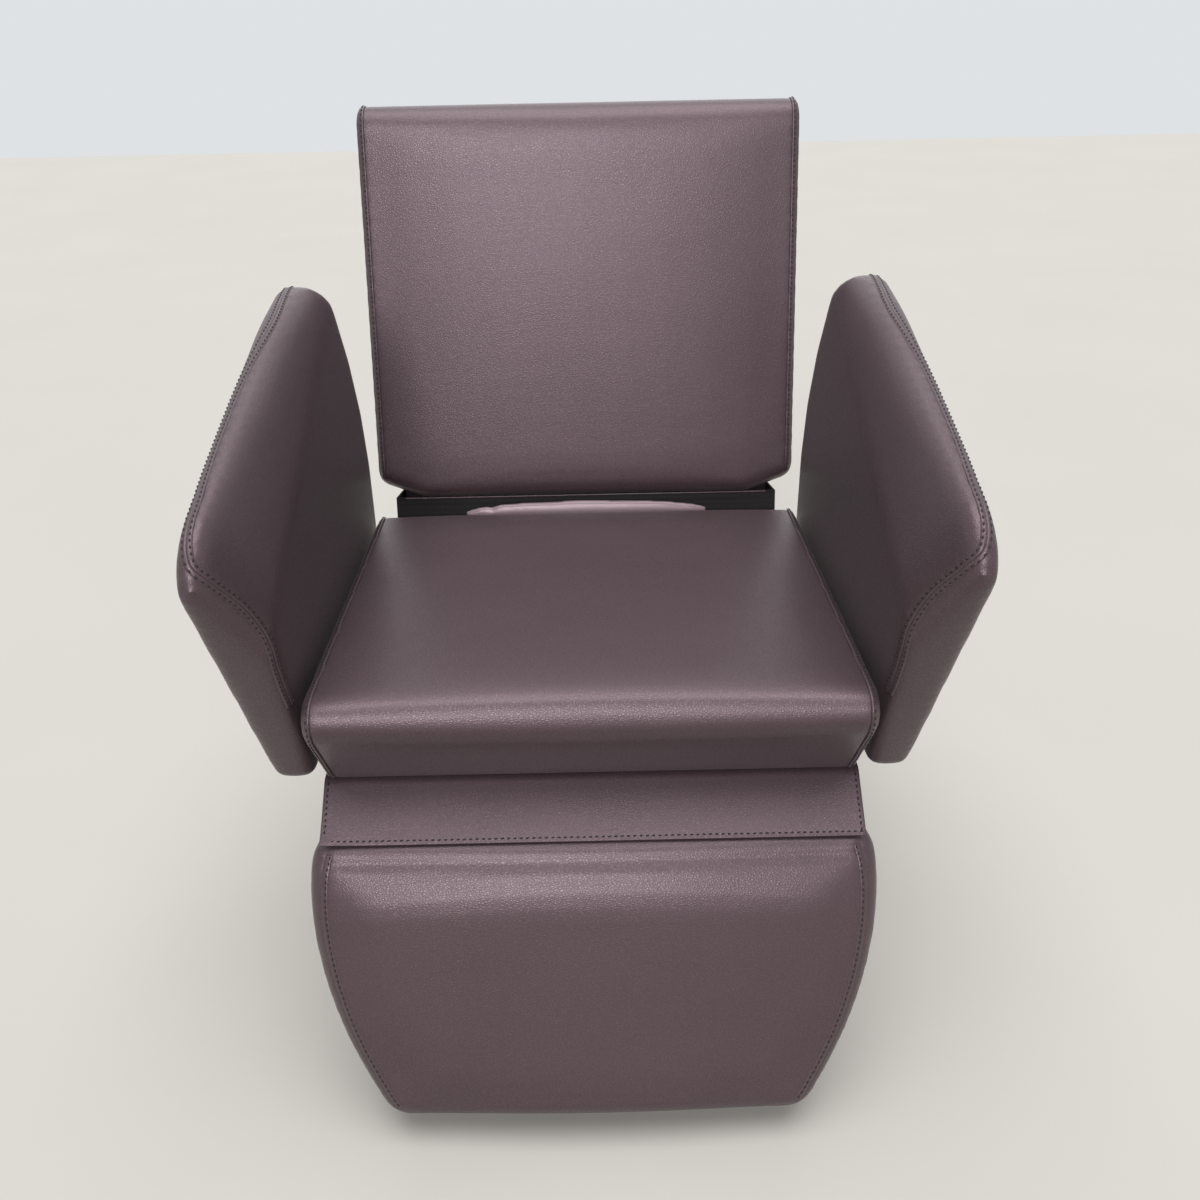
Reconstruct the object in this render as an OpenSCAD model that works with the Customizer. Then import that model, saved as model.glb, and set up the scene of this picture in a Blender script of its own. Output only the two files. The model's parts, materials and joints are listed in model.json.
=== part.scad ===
// Reclining foot-care salon chair with a leg rest that rises as the back goes down.
// Right is +X, the rear is +Y, up is +Z, and the origin is on the floor, midway between the four floor bolts.

/* [Seat] */
// Width of the seat cushion
seat_w = 520; // [480:5:580]
// Depth of the seat cushion from its rear face to its nose
seat_d = 492; // [470:2:520]
// Height of the seat cushion's front crest above the floor
seat_h = 470; // [440:5:520]
// Thickness of the seat cushion at its front crest
seat_t = 124; // [110:2:130]
// How far the seat falls from its crest to its rear edge
seat_fall = 27; // [10:1:40]
// How far the nose stands ahead of the foot of the cushion's front face
seat_undercut = 66; // [40:2:70]
// Crown of the seat cushion in its middle
seat_crown = 7; // [2:1:12]
// Distance of the seat's rear face behind the middle of the base
seat_rear = 231; // [225:1:245]
// Thickness of the seat board
seat_board_t = 12; // [9:1:15]

/* [Backrest] */
// Width of the back cushion
back_w = 520; // [470:5:520]
// Height of the back cushion along its lean
back_h = 462; // [400:2:520]
// Thickness of the back cushion
back_t = 55; // [45:1:60]
// Lean of the upright backrest
back_lean = 13; // [8:1:18]
// Crown of the back cushion in its middle
back_crown = 9; // [2:1:14]
// Chamfer of the back cushion's lower corners
back_chamfer = 26; // [15:1:35]
// Height of the hinge cover under the back cushion
tail_h = 38; // [34:1:42]
// Width of the hinge cover
tail_w = 480; // [470:2:500]
// Thickness of the back board
back_board_t = 10; // [8:1:14]

/* [Leg rest] */
// Greatest width of the leg rest
leg_w = 548; // [520:1:560]
// Width of the leg rest across its lower end
leg_foot_w = 408; // [396:2:440]
// Length of the leg rest cushion along its tilt
leg_len = 292; // [270:2:296]
// Thickness of the leg rest cushion
leg_t = 60; // [50:1:66]
// Tilt of the lowered leg rest
leg_tilt = 17.5; // [14:0.5:22]
// Crown of the leg rest cushion
leg_crown = 6; // [2:1:10]
// Width of the cloth flap that covers the leg rest's hinge
flap_w = 520; // [480:5:530]
// Length of the flap down its slope
flap_len = 66; // [50:1:68]
// Thickness of the hemmed flap
flap_t = 2.2; // [1.5:0.1:3]

/* [Arms] */
// Height of an arm's outer edge above the floor at its front
arm_front_h = 642; // [620:2:680]
// Height of an arm's outer edge above the floor at its rear
arm_rear_h = 768; // [740:2:790]
// Height of the arms' underside above the floor
arm_foot_h = 355; // [352:1:370]
// Width of an arm across its top at the front
arm_w = 65; // [56:1:76]
// Width of an arm across its underside
arm_foot_w = 42; // [38:1:50]
// How far an arm's front edge stands ahead of the seat's nose at the top
arm_reach = 58; // [40:2:80]
// How far an arm's front edge slants back towards its foot
arm_slant = 112; // [80:2:130]
// Gap between an arm and the seat's side
arm_gap = 2.5; // [2:0.5:6]
// Thickness of the arm boards
arm_board_t = 18; // [15:1:20]

/* [Base] */
// Width of the floor plate
plate_w = 440; // [420:10:480]
// Depth of the floor plate
plate_d = 460; // [440:10:500]
// Thickness of the floor plate
plate_t = 8; // [6:1:12]
// Distance between the floor bolts across the chair
bolt_x = 360; // [300:10:380]
// Distance between the floor bolts from front to rear
bolt_y = 380; // [300:10:400]
// Diameter of the floor bolts' holes
bolt_hole = 13; // [9:1:15]
// Outer width and depth of the box column
column_w = 150; // [130:5:160]
// Wall of the box column's load-bearing sides
column_wall = 6; // [4:1:8]
// Side of the square seat frame tube
tube = 25; // [22:1:30]
// Wall of all square tubes
tube_wall = 2; // [1.5:0.5:3]

/* [Mechanism] */
// Greatest recline of the back and lift of the leg rest
recline = 55; // [40:1:60]
// Distance between a hinge axis and its push link pin
crank_r = 88; // [84:1:92]
// Diameter of the hinge and push link pins
pin_d = 8; // [6:1:10]
// Diameter of the release shaft
shaft_d = 8; // [6:1:10]
// Radial clearance of every turning fit
run_fit = 0.05; // [0.03:0.01:0.1]
// Thickness of all hinge plates and links
steel_t = 6; // [5:0.5:7]

/* [Hidden] */
$fn = 48;

// Gaps
soft_gap = 0.3;   // between a soft piece and what carries it
hole_gap = 0.2;   // between a bolt and its hole, on the radius
side_gap = 0.3;   // between plates that turn side by side

// Heights and places of the seat and its frame
seat_front = seat_rear - seat_d;
cushion_z = seat_h - seat_t;
seat_board_z = cushion_z - soft_gap - seat_board_t;
frame_z = seat_board_z - tube;
top_plate_t = 8;
top_plate_z = frame_z - top_plate_t;
rail_x = seat_w / 2 - tube / 2 - 12.5;
rail_front_end = seat_front + 96;
rail_rear_end = seat_rear - 16;
rail_inner = rail_x - tube / 2;
mid_rail_y = 75;

// Lanes of the hinge plates, counted inwards from the side rails
bracket_x = rail_inner - steel_t / 2;
disc_t = 8;
disc_r = 26;
fixed_disc_x = rail_inner - steel_t - disc_t / 2;
moving_disc_x = fixed_disc_x - disc_t - side_gap;
ear_x = moving_disc_x - disc_t / 2 - steel_t / 2;
link_gap = 1.2;
link_x = ear_x - steel_t - link_gap;
hub_r = 12;

// Hinge axes, link pins and frames of the two moving bodies
back_axis = [seat_rear + 31, cushion_z + 29];
leg_axis = [seat_front + 73, cushion_z - 16];
crank_a = recline / 2;
crank = crank_r * [sin(crank_a), -cos(crank_a)];
upright = 20;
upright_x = ear_x - steel_t / 2 - upright / 2;
leg_ear_r = 10;

// Backrest, measured from its hinge axis: height along the lean and depth behind the axis
back_z = 71;
back_front = -41;
back_board_y = back_front + back_t + soft_gap;
back_tube_y = back_board_y + back_board_t;
back_shell_wall = 4;
back_shell_w = back_w - 8;
shell_depth = upright + 4;
tail_front = -16;
tail_z = back_z - soft_gap - tail_h;
tail_wall = 3;

// Leg rest, measured from its hinge axis: height along the tilt and depth behind the axis
leg_front = -57;
leg_top = -35;
leg_board_t = 10;
leg_board_y = leg_front + leg_t + soft_gap;
leg_tube_y = leg_board_y + leg_board_t;
leg_tube_top = -24;
leg_tube_foot = leg_top - leg_len + 34;
leg_bulge = 60;
leg_taper = (leg_w - leg_foot_w) / 2 / pow(leg_len - leg_bulge, 2);
leg_roll = 28;

// Fasteners
bolt_d = 8;
bolt_head_d = 13;
bolt_head_t = 5;
screw_d = 5;
screw_head_d = 9;
screw_head_t = 3;
frame_bolt_x = column_w / 2 + 18;
board_screw_x = 150;
arm_bolt_y = 45;
pin_head_t = 3;
pin_head_d = 13;

// Arms
arm_in = seat_w / 2 + arm_gap;
arm_wall = 7;
arm_plate_t = 5;
arm_board_x = arm_in + arm_wall + arm_plate_t + 2 * soft_gap;
arm_shoulder_front = 62;
arm_shoulder_rear = 0;
arm_rear = seat_rear + 10;
arm_front_drop = 26;
arm_rear_drop = 14;
arm_outer_front = 13;
arm_outer_rear = 27;
arm_inner_r = 31;
arm_tab_z = frame_z + 10;
arm_bolt_z = frame_z + 27;

// Release lever
lever_x = rail_x + tube / 2 + 5;
lever_w = 16;
lever_drop = 75;
lever_reach = 152;
grip_len = 50;
grip_d = 20;
spring_r = shaft_d / 2 + soft_gap + 1.1;
spring_wire = 2;
spring_turns = 5;

// Rounded outlines: each corner is [centre, centre, radius], counter-clockwise, and all are joined by
// tangent lines. The inset draws every corner in alike.
function tangent_angle(p, q) =
  let (v = [q[0] - p[0], q[1] - p[1]])
  atan2(v[1], v[0]) - acos((p[2] - q[2]) / norm(v));
function after(a, b) = b < a - 1 ? after(a, b + 360) : b > a + 359 ? after(a, b - 360) : b;
function rounded(corners, inset, steps, cuts) = [
  for (i = [0:len(corners) - 1])
    let (
      n = len(corners),
      c = corners[i],
      q = corners[(i + 1) % n],
      before = tangent_angle(corners[(i + n - 1) % n], c),
      a0 = before,
      a1 = after(a0, tangent_angle(c, q)),
      r = c[2] - inset,
      rq = q[2] - inset,
      end = [c[0] + r * cos(a1), c[1] + r * sin(a1)],
      next = [q[0] + rq * cos(a1), q[1] + rq * sin(a1)]
    )
    each concat(
      [for (k = [0:steps]) let (a = a0 + (a1 - a0) * k / steps) [c[0] + r * cos(a), c[1] + r * sin(a)]],
      [for (k = [1:1:cuts[i] - 1]) end + (next - end) * k / cuts[i]]
    )
];

// A closed skin through rings of equal length, capped at both ends
function middle(ring) = [for (k = [0:2]) [for (p = ring) p[k]] * [for (p = ring) 1] / len(ring)];
module skin(rings) {
  n = len(rings[0]);
  m = len(rings);
  points = concat([for (r = rings) each r], [middle(rings[0]), middle(rings[m - 1])]);
  walls = [
    for (j = [0:m - 2], i = [0:n - 1])
      let (a = j * n + i, b = j * n + (i + 1) % n)
      each [[a, a + n, b], [b, a + n, b + n]]
  ];
  caps = concat(
    [for (i = [0:n - 1]) [n * m, i, (i + 1) % n]],
    [for (i = [0:n - 1]) [n * m + 1, (m - 1) * n + (i + 1) % n, (m - 1) * n + i]]
  );
  polyhedron(points, concat(walls, caps), convexity = 6);
}

// Stations across a padded piece of half width w, each [place, inset]: the edges are rounded by r and the
// sides are drawn in by a dimple.
edge_turns = [0, 30, 60, 90];
function edge(r) = [for (t = edge_turns) r * [1 - cos(t), 1 - sin(t)]];
function stations(w, r, dimple, count) = concat(
  [[-w + dimple, r + 4]],
  [for (e = edge(r)) [-w + e[0], e[1]]],
  [for (k = [1:count - 1]) [-w + r + 2 * (w - r) * k / count, 0]],
  [for (k = [3:-1:0]) [w - edge(r)[k][0], edge(r)[k][1]]],
  [[w - dimple, r + 4]]
);
function hump(v, low, high) = let (u = (2 * v - low - high) / (high - low)) max(0, 1 - u * u);

// Flat shapes and tubes
module rounded_rect(w, d, r) {
  square([w - 2 * r, d], center = true);
  square([w, d - 2 * r], center = true);
  for (x = [-1, 1], y = [-1, 1]) translate([x * (w / 2 - r), y * (d / 2 - r)]) circle(r);
}
module strap(a, b, w) {
  v = b - a;
  translate(a) rotate(atan2(v[1], v[0])) translate([0, -w / 2]) square([norm(v), w]);
}
module tube_x(length, size) {
  difference() {
    cube([length, size, size], center = true);
    cube([length + 2, size - 2 * tube_wall, size - 2 * tube_wall], center = true);
  }
}
module tube_y(length, size) rotate([0, 0, 90]) tube_x(length, size);
module tube_z(length, size) rotate([0, 90, 0]) tube_x(length, size);

// A plate drawn in its [y, z] outline, standing across X at x
module side_plate(x, t) translate([x - t / 2, 0, 0]) rotate([90, 0, 90]) linear_extrude(t) children();
module bar_x(x0, x1, d) translate([x0, 0, 0]) rotate([0, 90, 0]) cylinder(h = x1 - x0, d = d);
module hex_bolt(length, d, head_d, head_t) {
  cylinder(h = length, d = d);
  translate([0, 0, -head_t]) cylinder(h = head_t, d = head_d, $fn = 6);
}
module pan_screw(length, d, head_d, head_t) {
  cylinder(h = length, d = d);
  translate([0, 0, -head_t]) cylinder(h = head_t, d = head_d);
}
module each_side() for (s = [-1, 1]) scale([s, 1, 1]) children();
module side(s) mirror([s < 0 ? 1 : 0, 0, 0]) children();

// The frames of the two hinged bodies
module on_back() translate([0, back_axis[0], back_axis[1]]) rotate([-back_lean, 0, 0]) children();
module on_leg() translate([0, leg_axis[0], leg_axis[1]]) rotate([-leg_tilt, 0, 0]) children();
function crank_in(tilt) = crank_r * [sin(crank_a + tilt), -cos(crank_a + tilt)];

// ---- Base: floor plate and box column ----
module floor_plate() color("dimgray") linear_extrude(plate_t) difference() {
  rounded_rect(plate_w, plate_d, 20);
  for (x = [-1, 1], y = [-1, 1]) translate([x * bolt_x / 2, y * bolt_y / 2]) circle(d = bolt_hole);
}
trim_t = 3;
module plate_trim() color("black") translate([0, 0, 1]) linear_extrude(plate_t - 1) difference() {
  rounded_rect(plate_w + 2 * trim_t, plate_d + 2 * trim_t, 20 + trim_t);
  rounded_rect(plate_w, plate_d, 20);
}
column_h = top_plate_z - plate_t;
cover_t = 3;
cover_screw_z = [plate_t + 30, top_plate_z - 30];
cover_screw_x = column_w / 2 - column_wall - 8;
module column_side(s) side(s) color("dimgray") difference() {
  union() {
    translate([column_w / 2 - column_wall, -column_w / 2, plate_t]) cube([column_wall, column_w, column_h]);
    for (y = [-1, 1])
      translate([column_w / 2 - column_wall - 16, y * (column_w / 2 - cover_t / 2) - cover_t / 2, plate_t])
        cube([16, cover_t, column_h]);
  }
  for (z = cover_screw_z) translate([cover_screw_x, 0, z]) rotate([90, 0, 0])
    cylinder(h = column_w + 20, d = screw_d + 2 * hole_gap, center = true);
}
module column_side_left() column_side(-1);
module column_side_right() column_side(1);
module column_cover(s) color("#3a3534") mirror([0, s < 0 ? 1 : 0, 0]) difference() {
  translate([-column_w / 2, column_w / 2, plate_t]) cube([column_w, cover_t, column_h]);
  for (x = [-1, 1], z = cover_screw_z) translate([x * cover_screw_x, column_w / 2 - 1, z])
    rotate([-90, 0, 0]) cylinder(h = cover_t + 2, d = screw_d + 2 * hole_gap);
}
module column_cover_front() column_cover(-1);
module column_cover_rear() column_cover(1);

// ---- Seat frame ----
module frame_bolt_places() for (x = [-1, 1], y = [-1, 1])
  translate([x * frame_bolt_x, y * mid_rail_y, top_plate_z]) children();
module top_plate() color("dimgray") difference() {
  translate([0, 0, top_plate_z]) linear_extrude(top_plate_t)
    rounded_rect(2 * frame_bolt_x + 36, 2 * mid_rail_y + tube + 20, 10);
  frame_bolt_places() translate([0, 0, -1]) cylinder(h = top_plate_t + 2, d = bolt_d + 2 * hole_gap);
}
module frame_bolts() color("silver") frame_bolt_places()
  hex_bolt(top_plate_t + tube_wall + 6, bolt_d, bolt_head_d, bolt_head_t);
module rail(s) side(s) color("dimgray") difference() {
  translate([rail_x, (rail_front_end + rail_rear_end) / 2, frame_z + tube / 2])
    tube_y(rail_rear_end - rail_front_end, tube);
  for (y = [-1, 1]) translate([rail_x, y * arm_bolt_y, frame_z - 1])
    cylinder(h = tube_wall + 2, d = bolt_d + 2 * hole_gap);
}
module rail_left() rail(-1);
module rail_right() rail(1);
module cross_rail(y, t) translate([0, y, frame_z + tube / 2]) tube_x(2 * (rail_inner - t), tube);
module rail_front() color("dimgray") cross_rail(rail_front_end + 38, steel_t);
module rail_mid(s) color("dimgray") difference() {
  cross_rail(s * mid_rail_y, 0);
  frame_bolt_places() cylinder(h = top_plate_t + tube_wall + 1, d = bolt_d + 2 * hole_gap);
  for (x = [-1, 1]) translate([x * board_screw_x, s * mid_rail_y, frame_z - 1])
    cylinder(h = tube + 2, d = screw_d + 2 * hole_gap);
}
module rail_mid_front() rail_mid(-1);
module rail_mid_rear() rail_mid(1);
module rail_rear() color("dimgray") cross_rail(rail_rear_end - 28, steel_t);
screw_bite = 8;
module board_screw_places() for (x = [-1, 1], y = [-1, 1])
  translate([x * board_screw_x, y * mid_rail_y, frame_z]) children();
module seat_board() color("burlywood") difference() {
  translate([-seat_w / 2 + 10, seat_front + 101, seat_board_z])
    cube([seat_w - 20, seat_d - 110, seat_board_t]);
  board_screw_places() translate([0, 0, tube - 1]) cylinder(h = screw_bite + 1.5, d = screw_d + 2 * hole_gap);
}
module base_screws() color("silver") {
  board_screw_places() pan_screw(tube + screw_bite, screw_d, screw_head_d, screw_head_t);
  for (s = [-1, 1], x = [-1, 1], z = cover_screw_z) mirror([0, s < 0 ? 1 : 0, 0])
    translate([x * cover_screw_x, column_w / 2 + cover_t, z]) rotate([90, 0, 0])
      pan_screw(cover_t * 2 + 4, screw_d, screw_head_d, screw_head_t);
}

// ---- Seat cushion: a waterfall front, a crowned top and drawn-in sides ----
seat_edge = 8;
seat_nose = 22;
seat_corners = [
  [seat_front + seat_undercut + 10, cushion_z + 13, 13],
  [seat_rear - 13, cushion_z + 13, 13],
  [seat_rear - 18, seat_h - seat_fall - 18, 18],
  [seat_front + seat_nose, seat_h - seat_nose, seat_nose]
];
function seat_ring(x, inset) = [
  for (p = rounded(seat_corners, inset, 4, [1, 2, 10, 3]))
    let (
      lift = p[1] > seat_h - seat_fall - 24 ? seat_crown : 0,
      z = p[1] - seat_crown * 0.4 + lift * hump(x, -seat_w / 2, seat_w / 2) * hump(p[0], seat_front, seat_rear + 40)
    )
    [x, p[0], max(z, cushion_z)]
];
module seat_cushion() color("#57474a")
  skin([for (s = stations(seat_w / 2, seat_edge, 5, 10)) seat_ring(s[0], s[1])]);

// The padded roll that closes the gap between the seat and the backrest
gap_roll_w = 300;
gap_roll_r = 8;
gap_roll_h = 44;
gap_roll_top = 6;
module gap_cover() color("#57474a")
  skin([
    for (t = [-80:20:80])
      let (x = gap_roll_w / 2 * sin(t) / sin(80), k = 0.35 + 0.65 * cos(t))
      [for (a = [0:30:330])
        [x, seat_rear + soft_gap + gap_roll_r * (1 + k * cos(a)),
         seat_h - seat_fall + gap_roll_top - gap_roll_h / 2 * (1 - k * sin(a))]]
  ]);

// ---- Arms ----
module arm_bracket(s) side(s) color("dimgray") difference() {
  union() {
    translate([rail_x - tube / 2 - 10, -arm_bolt_y - 25, frame_z - arm_plate_t])
      cube([arm_board_x - soft_gap - rail_x + tube / 2 + 10, 2 * arm_bolt_y + 50, arm_plate_t]);
    translate([arm_board_x - soft_gap - arm_plate_t, -arm_bolt_y - 25, frame_z - arm_plate_t])
      cube([arm_plate_t, 2 * arm_bolt_y + 50, arm_foot_h + 90 - frame_z + arm_plate_t]);
  }
  for (y = [-1, 1]) {
    translate([rail_x, y * arm_bolt_y, frame_z - arm_plate_t - 1])
      cylinder(h = arm_plate_t + 2, d = bolt_d + 2 * hole_gap);
    translate([arm_board_x - arm_plate_t - 2, y * arm_bolt_y, arm_bolt_z]) rotate([0, 90, 0])
      cylinder(h = arm_plate_t + 4, d = bolt_d + 2 * hole_gap);
  }
}
module arm_bracket_left() arm_bracket(-1);
module arm_bracket_right() arm_bracket(1);
arm_bolt_bite = 12;
module arm_bolts() color("silver") for (s = [-1, 1], y = [-1, 1]) side(s) {
  translate([rail_x, y * arm_bolt_y, frame_z - arm_plate_t])
    hex_bolt(arm_plate_t + tube_wall + 6, bolt_d, bolt_head_d, bolt_head_t);
  translate([arm_board_x - soft_gap - arm_plate_t, y * arm_bolt_y, arm_bolt_z]) rotate([0, 90, 0])
    hex_bolt(arm_plate_t + soft_gap + arm_bolt_bite, bolt_d, bolt_head_d, bolt_head_t);
}
arm_curve_z = arm_foot_h + 125;
function arm_front_y(z) = seat_front - arm_reach + arm_slant * (arm_front_h - z) / (arm_front_h - arm_foot_h);
function arm_rear_y(z) = arm_rear - 122 * pow(max(0, z - arm_curve_z) / 263, 1.9);
module arm_board_outline() {
  polygon([
    [arm_front_y(arm_foot_h) + 40, arm_foot_h + 2], [arm_rear - 40, arm_foot_h + 2],
    [arm_rear - 40, arm_curve_z + 20], [arm_rear_y(arm_rear_h) + 35, arm_rear_h - 110],
    [arm_front_y(arm_front_h) + 85, arm_front_h - 85]
  ]);
  translate([-arm_bolt_y - 25, arm_tab_z]) square([2 * arm_bolt_y + 50, arm_foot_h + 10 - arm_tab_z]);
}
module arm_board(s) side(s) color("burlywood") difference() {
  side_plate(arm_board_x + arm_board_t / 2, arm_board_t) arm_board_outline();
  for (y = [-1, 1]) translate([arm_board_x - 1, y * arm_bolt_y, arm_bolt_z]) rotate([0, 90, 0])
    cylinder(h = arm_bolt_bite + 1.4, d = bolt_d + 2 * hole_gap);
}
module arm_board_left() arm_board(-1);
module arm_board_right() arm_board(1);
arm_edge = 9;
arm_stations = concat(
  [for (e = edge(arm_edge)) [0, e[0], e[1]]],
  [for (s = [0.04, 0.08, 0.12, 0.2, 0.35, 0.5, 0.65, 0.75, 0.84, 0.92, 0.97]) [s, 0, 0]],
  [for (k = [3:-1:0]) let (e = edge(arm_edge)[k]) [1, -e[0], e[1]]]
);
function arm_top(s) = arm_front_h + (arm_rear_h - arm_front_h) * s
  - arm_rear_drop * pow(max(0, s - 0.7) / 0.3, 2) - arm_front_drop * pow(max(0, 1 - s / 0.13), 2);
function arm_section(s, inset) =
  let (
    top = arm_top(s),
    shoulder = top - arm_shoulder_front + (arm_shoulder_front - arm_shoulder_rear) * s,
    out = arm_in + arm_w - 4 * s,
    foot = arm_in + arm_foot_w,
    outer_r = arm_outer_front + (arm_outer_rear - arm_outer_front) * s
  )
  rounded(
    [[foot - 12, arm_foot_h + 12, 12], [out - outer_r, top - outer_r, outer_r],
     [arm_in + arm_inner_r, shoulder - arm_inner_r, arm_inner_r], [arm_in + 12, arm_foot_h + 12, 12]],
    inset, 4, [5, 2, 5, 2]
  );
function arm_ring(st) = [
  for (p = arm_section(st[0], st[2]))
    [p[0], arm_front_y(p[1]) * (1 - st[0]) + arm_rear_y(p[1]) * st[0] + st[1], p[1]]
];
module arm_pad(s) side(s) color("#57474a") difference() {
  skin([for (st = arm_stations) arm_ring(st)]);
  side_plate(arm_board_x + arm_board_t / 2, arm_board_t + 2 * soft_gap) offset(delta = soft_gap) arm_board_outline();
  side_plate(arm_board_x - arm_plate_t / 2 - soft_gap, arm_plate_t + 2 * soft_gap)
    translate([-arm_bolt_y - 25 - soft_gap, arm_tab_z])
      square([2 * arm_bolt_y + 50 + 2 * soft_gap, arm_foot_h + 90 + soft_gap - arm_tab_z]);
}
module arm_pad_left() arm_pad(-1);
module arm_pad_right() arm_pad(1);

// ---- Hinge brackets, reclining discs and leg rest brackets of the seat frame ----
hinge_boss_r = 24;
module hinge_bracket(s) side(s) color("dimgray") difference() {
  side_plate(bracket_x, steel_t) {
    polygon([
      [rail_rear_end - 90, frame_z], [back_axis[0] - 4, frame_z],
      [back_axis[0] + hinge_boss_r - 6, back_axis[1] - 20], [back_axis[0] + hinge_boss_r - 2, back_axis[1]],
      [back_axis[0] - hinge_boss_r + 2, back_axis[1]], [back_axis[0] - hinge_boss_r + 1, seat_board_z],
      [rail_rear_end - 90, seat_board_z]
    ]);
    translate(back_axis) circle(hinge_boss_r);
  }
  translate([rail_inner - steel_t - 1, back_axis[0], back_axis[1]]) bar_x(0, steel_t + 2, shaft_d + 2 * run_fit);
}
module hinge_bracket_left() hinge_bracket(-1);
module hinge_bracket_right() hinge_bracket(1);
module recliner_fixed(s) side(s) color("silver") translate([0, back_axis[0], back_axis[1]]) difference() {
  bar_x(fixed_disc_x - disc_t / 2, fixed_disc_x + disc_t / 2, 2 * disc_r);
  bar_x(fixed_disc_x - disc_t / 2 - 1, fixed_disc_x + disc_t / 2 + 1, 2 * (hub_r + run_fit));
}
module recliner_fixed_left() recliner_fixed(-1);
module recliner_fixed_right() recliner_fixed(1);
module leg_bracket(s) side(s) color("dimgray") difference() {
  side_plate(bracket_x, steel_t) {
    polygon([
      [rail_front_end + 68, frame_z], [rail_front_end + 68, seat_board_z],
      [rail_front_end + 2, seat_board_z], [leg_axis[0], leg_axis[1] + leg_ear_r - 2],
      [leg_axis[0] - leg_ear_r + 2, leg_axis[1]], [leg_axis[0], leg_axis[1] - leg_ear_r + 1],
      [rail_front_end + 6, frame_z]
    ]);
    translate(leg_axis) circle(leg_ear_r);
  }
  translate([rail_inner - steel_t - 1, leg_axis[0], leg_axis[1]]) bar_x(0, steel_t + 2, pin_d + 2 * run_fit);
}
module leg_bracket_left() leg_bracket(-1);
module leg_bracket_right() leg_bracket(1);
module leg_pins() color("silver") each_side() translate([0, leg_axis[0], leg_axis[1]]) {
  bar_x(ear_x - steel_t / 2 - 1, rail_inner, pin_d);
  bar_x(rail_inner, rail_inner + pin_head_t, pin_head_d);
  bar_x(ear_x - steel_t / 2 - side_gap - pin_head_t, ear_x - steel_t / 2 - side_gap, pin_head_d);
}
spacer_in = ear_x + steel_t / 2 + side_gap;
module leg_spacers() color("white") each_side() translate([0, leg_axis[0], leg_axis[1]]) difference() {
  bar_x(spacer_in, rail_inner - steel_t, 2 * leg_ear_r - 2);
  bar_x(spacer_in - 1, rail_inner, pin_d + 2 * run_fit);
}

// The torsion spring round the release shaft that brings the lever back
spring_x = rail_inner + side_gap - 0.7;
spring_pitch = spring_wire + 0.8;
spring_steps = 16;
spring_sides = 6;
function coil_point(k) = let (a = 360 * k / spring_steps)
  [spring_x + spring_wire + spring_pitch * k / spring_steps, spring_r * cos(a), spring_r * sin(a)];
module return_spring() color("silver") translate([0, back_axis[0], back_axis[1]]) union() {
  skin([
    for (k = [0:spring_turns * spring_steps])
      let (c = coil_point(k), a = 360 * k / spring_steps, out = [0, cos(a), sin(a)])
      [for (j = [0:spring_sides - 1])
        let (b = -360 * j / spring_sides) c + spring_wire / 2 * (out * cos(b) + [1, 0, 0] * sin(b))]
  ]);
}

// ---- Backrest ----
module recliner_moving(s) side(s) color("silver") translate([0, back_axis[0], back_axis[1]]) difference() {
  union() {
    bar_x(moving_disc_x - disc_t / 2, moving_disc_x + disc_t / 2, 2 * disc_r);
    bar_x(moving_disc_x, fixed_disc_x + disc_t / 2 - side_gap, 2 * hub_r);
  }
  bar_x(moving_disc_x - disc_t / 2 - 1, fixed_disc_x + disc_t, shaft_d + 2);
}
module recliner_moving_left() recliner_moving(-1);
module recliner_moving_right() recliner_moving(1);
ear_strap = 24;
crank_strap = 20;
module back_ear(s) side(s) color("dimgray") on_back() difference() {
  side_plate(ear_x, steel_t) {
    circle(disc_r - 4);
    strap([0, 0], crank_in(back_lean), crank_strap);
    translate(crank_in(back_lean)) circle(crank_strap / 2 + 1);
    polygon([
      [-disc_r + 8, 0], [disc_r - 8, -4], [back_tube_y + upright, 44], [back_tube_y + upright, 150],
      [back_tube_y, 150], [back_tube_y, 60]
    ]);
  }
  bar_x(ear_x - steel_t, ear_x + steel_t, shaft_d + 2);
  translate([0, crank_in(back_lean)[0], crank_in(back_lean)[1]])
    bar_x(ear_x - steel_t, ear_x + steel_t, pin_d + 2 * run_fit);
}
module back_ear_left() back_ear(-1);
module back_ear_right() back_ear(1);
upright_low = 34;
upright_high = back_z + back_h - 30;
crossbar_lower_z = back_z + 30;
crossbar_upper_z = upright_high - 60;
crossbar_screw_x = 110;
module back_upright(s) side(s) color("dimgray") on_back()
  translate([upright_x, back_tube_y + upright / 2, (upright_low + upright_high) / 2])
    tube_z(upright_high - upright_low, upright);
module back_upright_left() back_upright(-1);
module back_upright_right() back_upright(1);
module crossbar(z, y) difference() {
  translate([0, y + upright / 2, z]) tube_x(2 * upright_x - upright, upright);
  for (x = [-1, 1]) translate([x * crossbar_screw_x, y - 1, z]) rotate([-90, 0, 0])
    cylinder(h = upright + 2, d = screw_d + 2 * hole_gap);
}
crossbar_z = [crossbar_lower_z, crossbar_upper_z];
module back_crossbars() color("dimgray") on_back() for (z = crossbar_z) crossbar(z, back_tube_y);
module crossbar_screw() rotate([90, 0, 0]) pan_screw(upright + screw_bite - 0.5, screw_d, screw_head_d, screw_head_t);
module back_screws() color("silver") on_back() for (x = [-1, 1], z = crossbar_z)
  translate([x * crossbar_screw_x, back_tube_y + upright, z]) crossbar_screw();
back_corner = back_w / 2 - 10;
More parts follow.
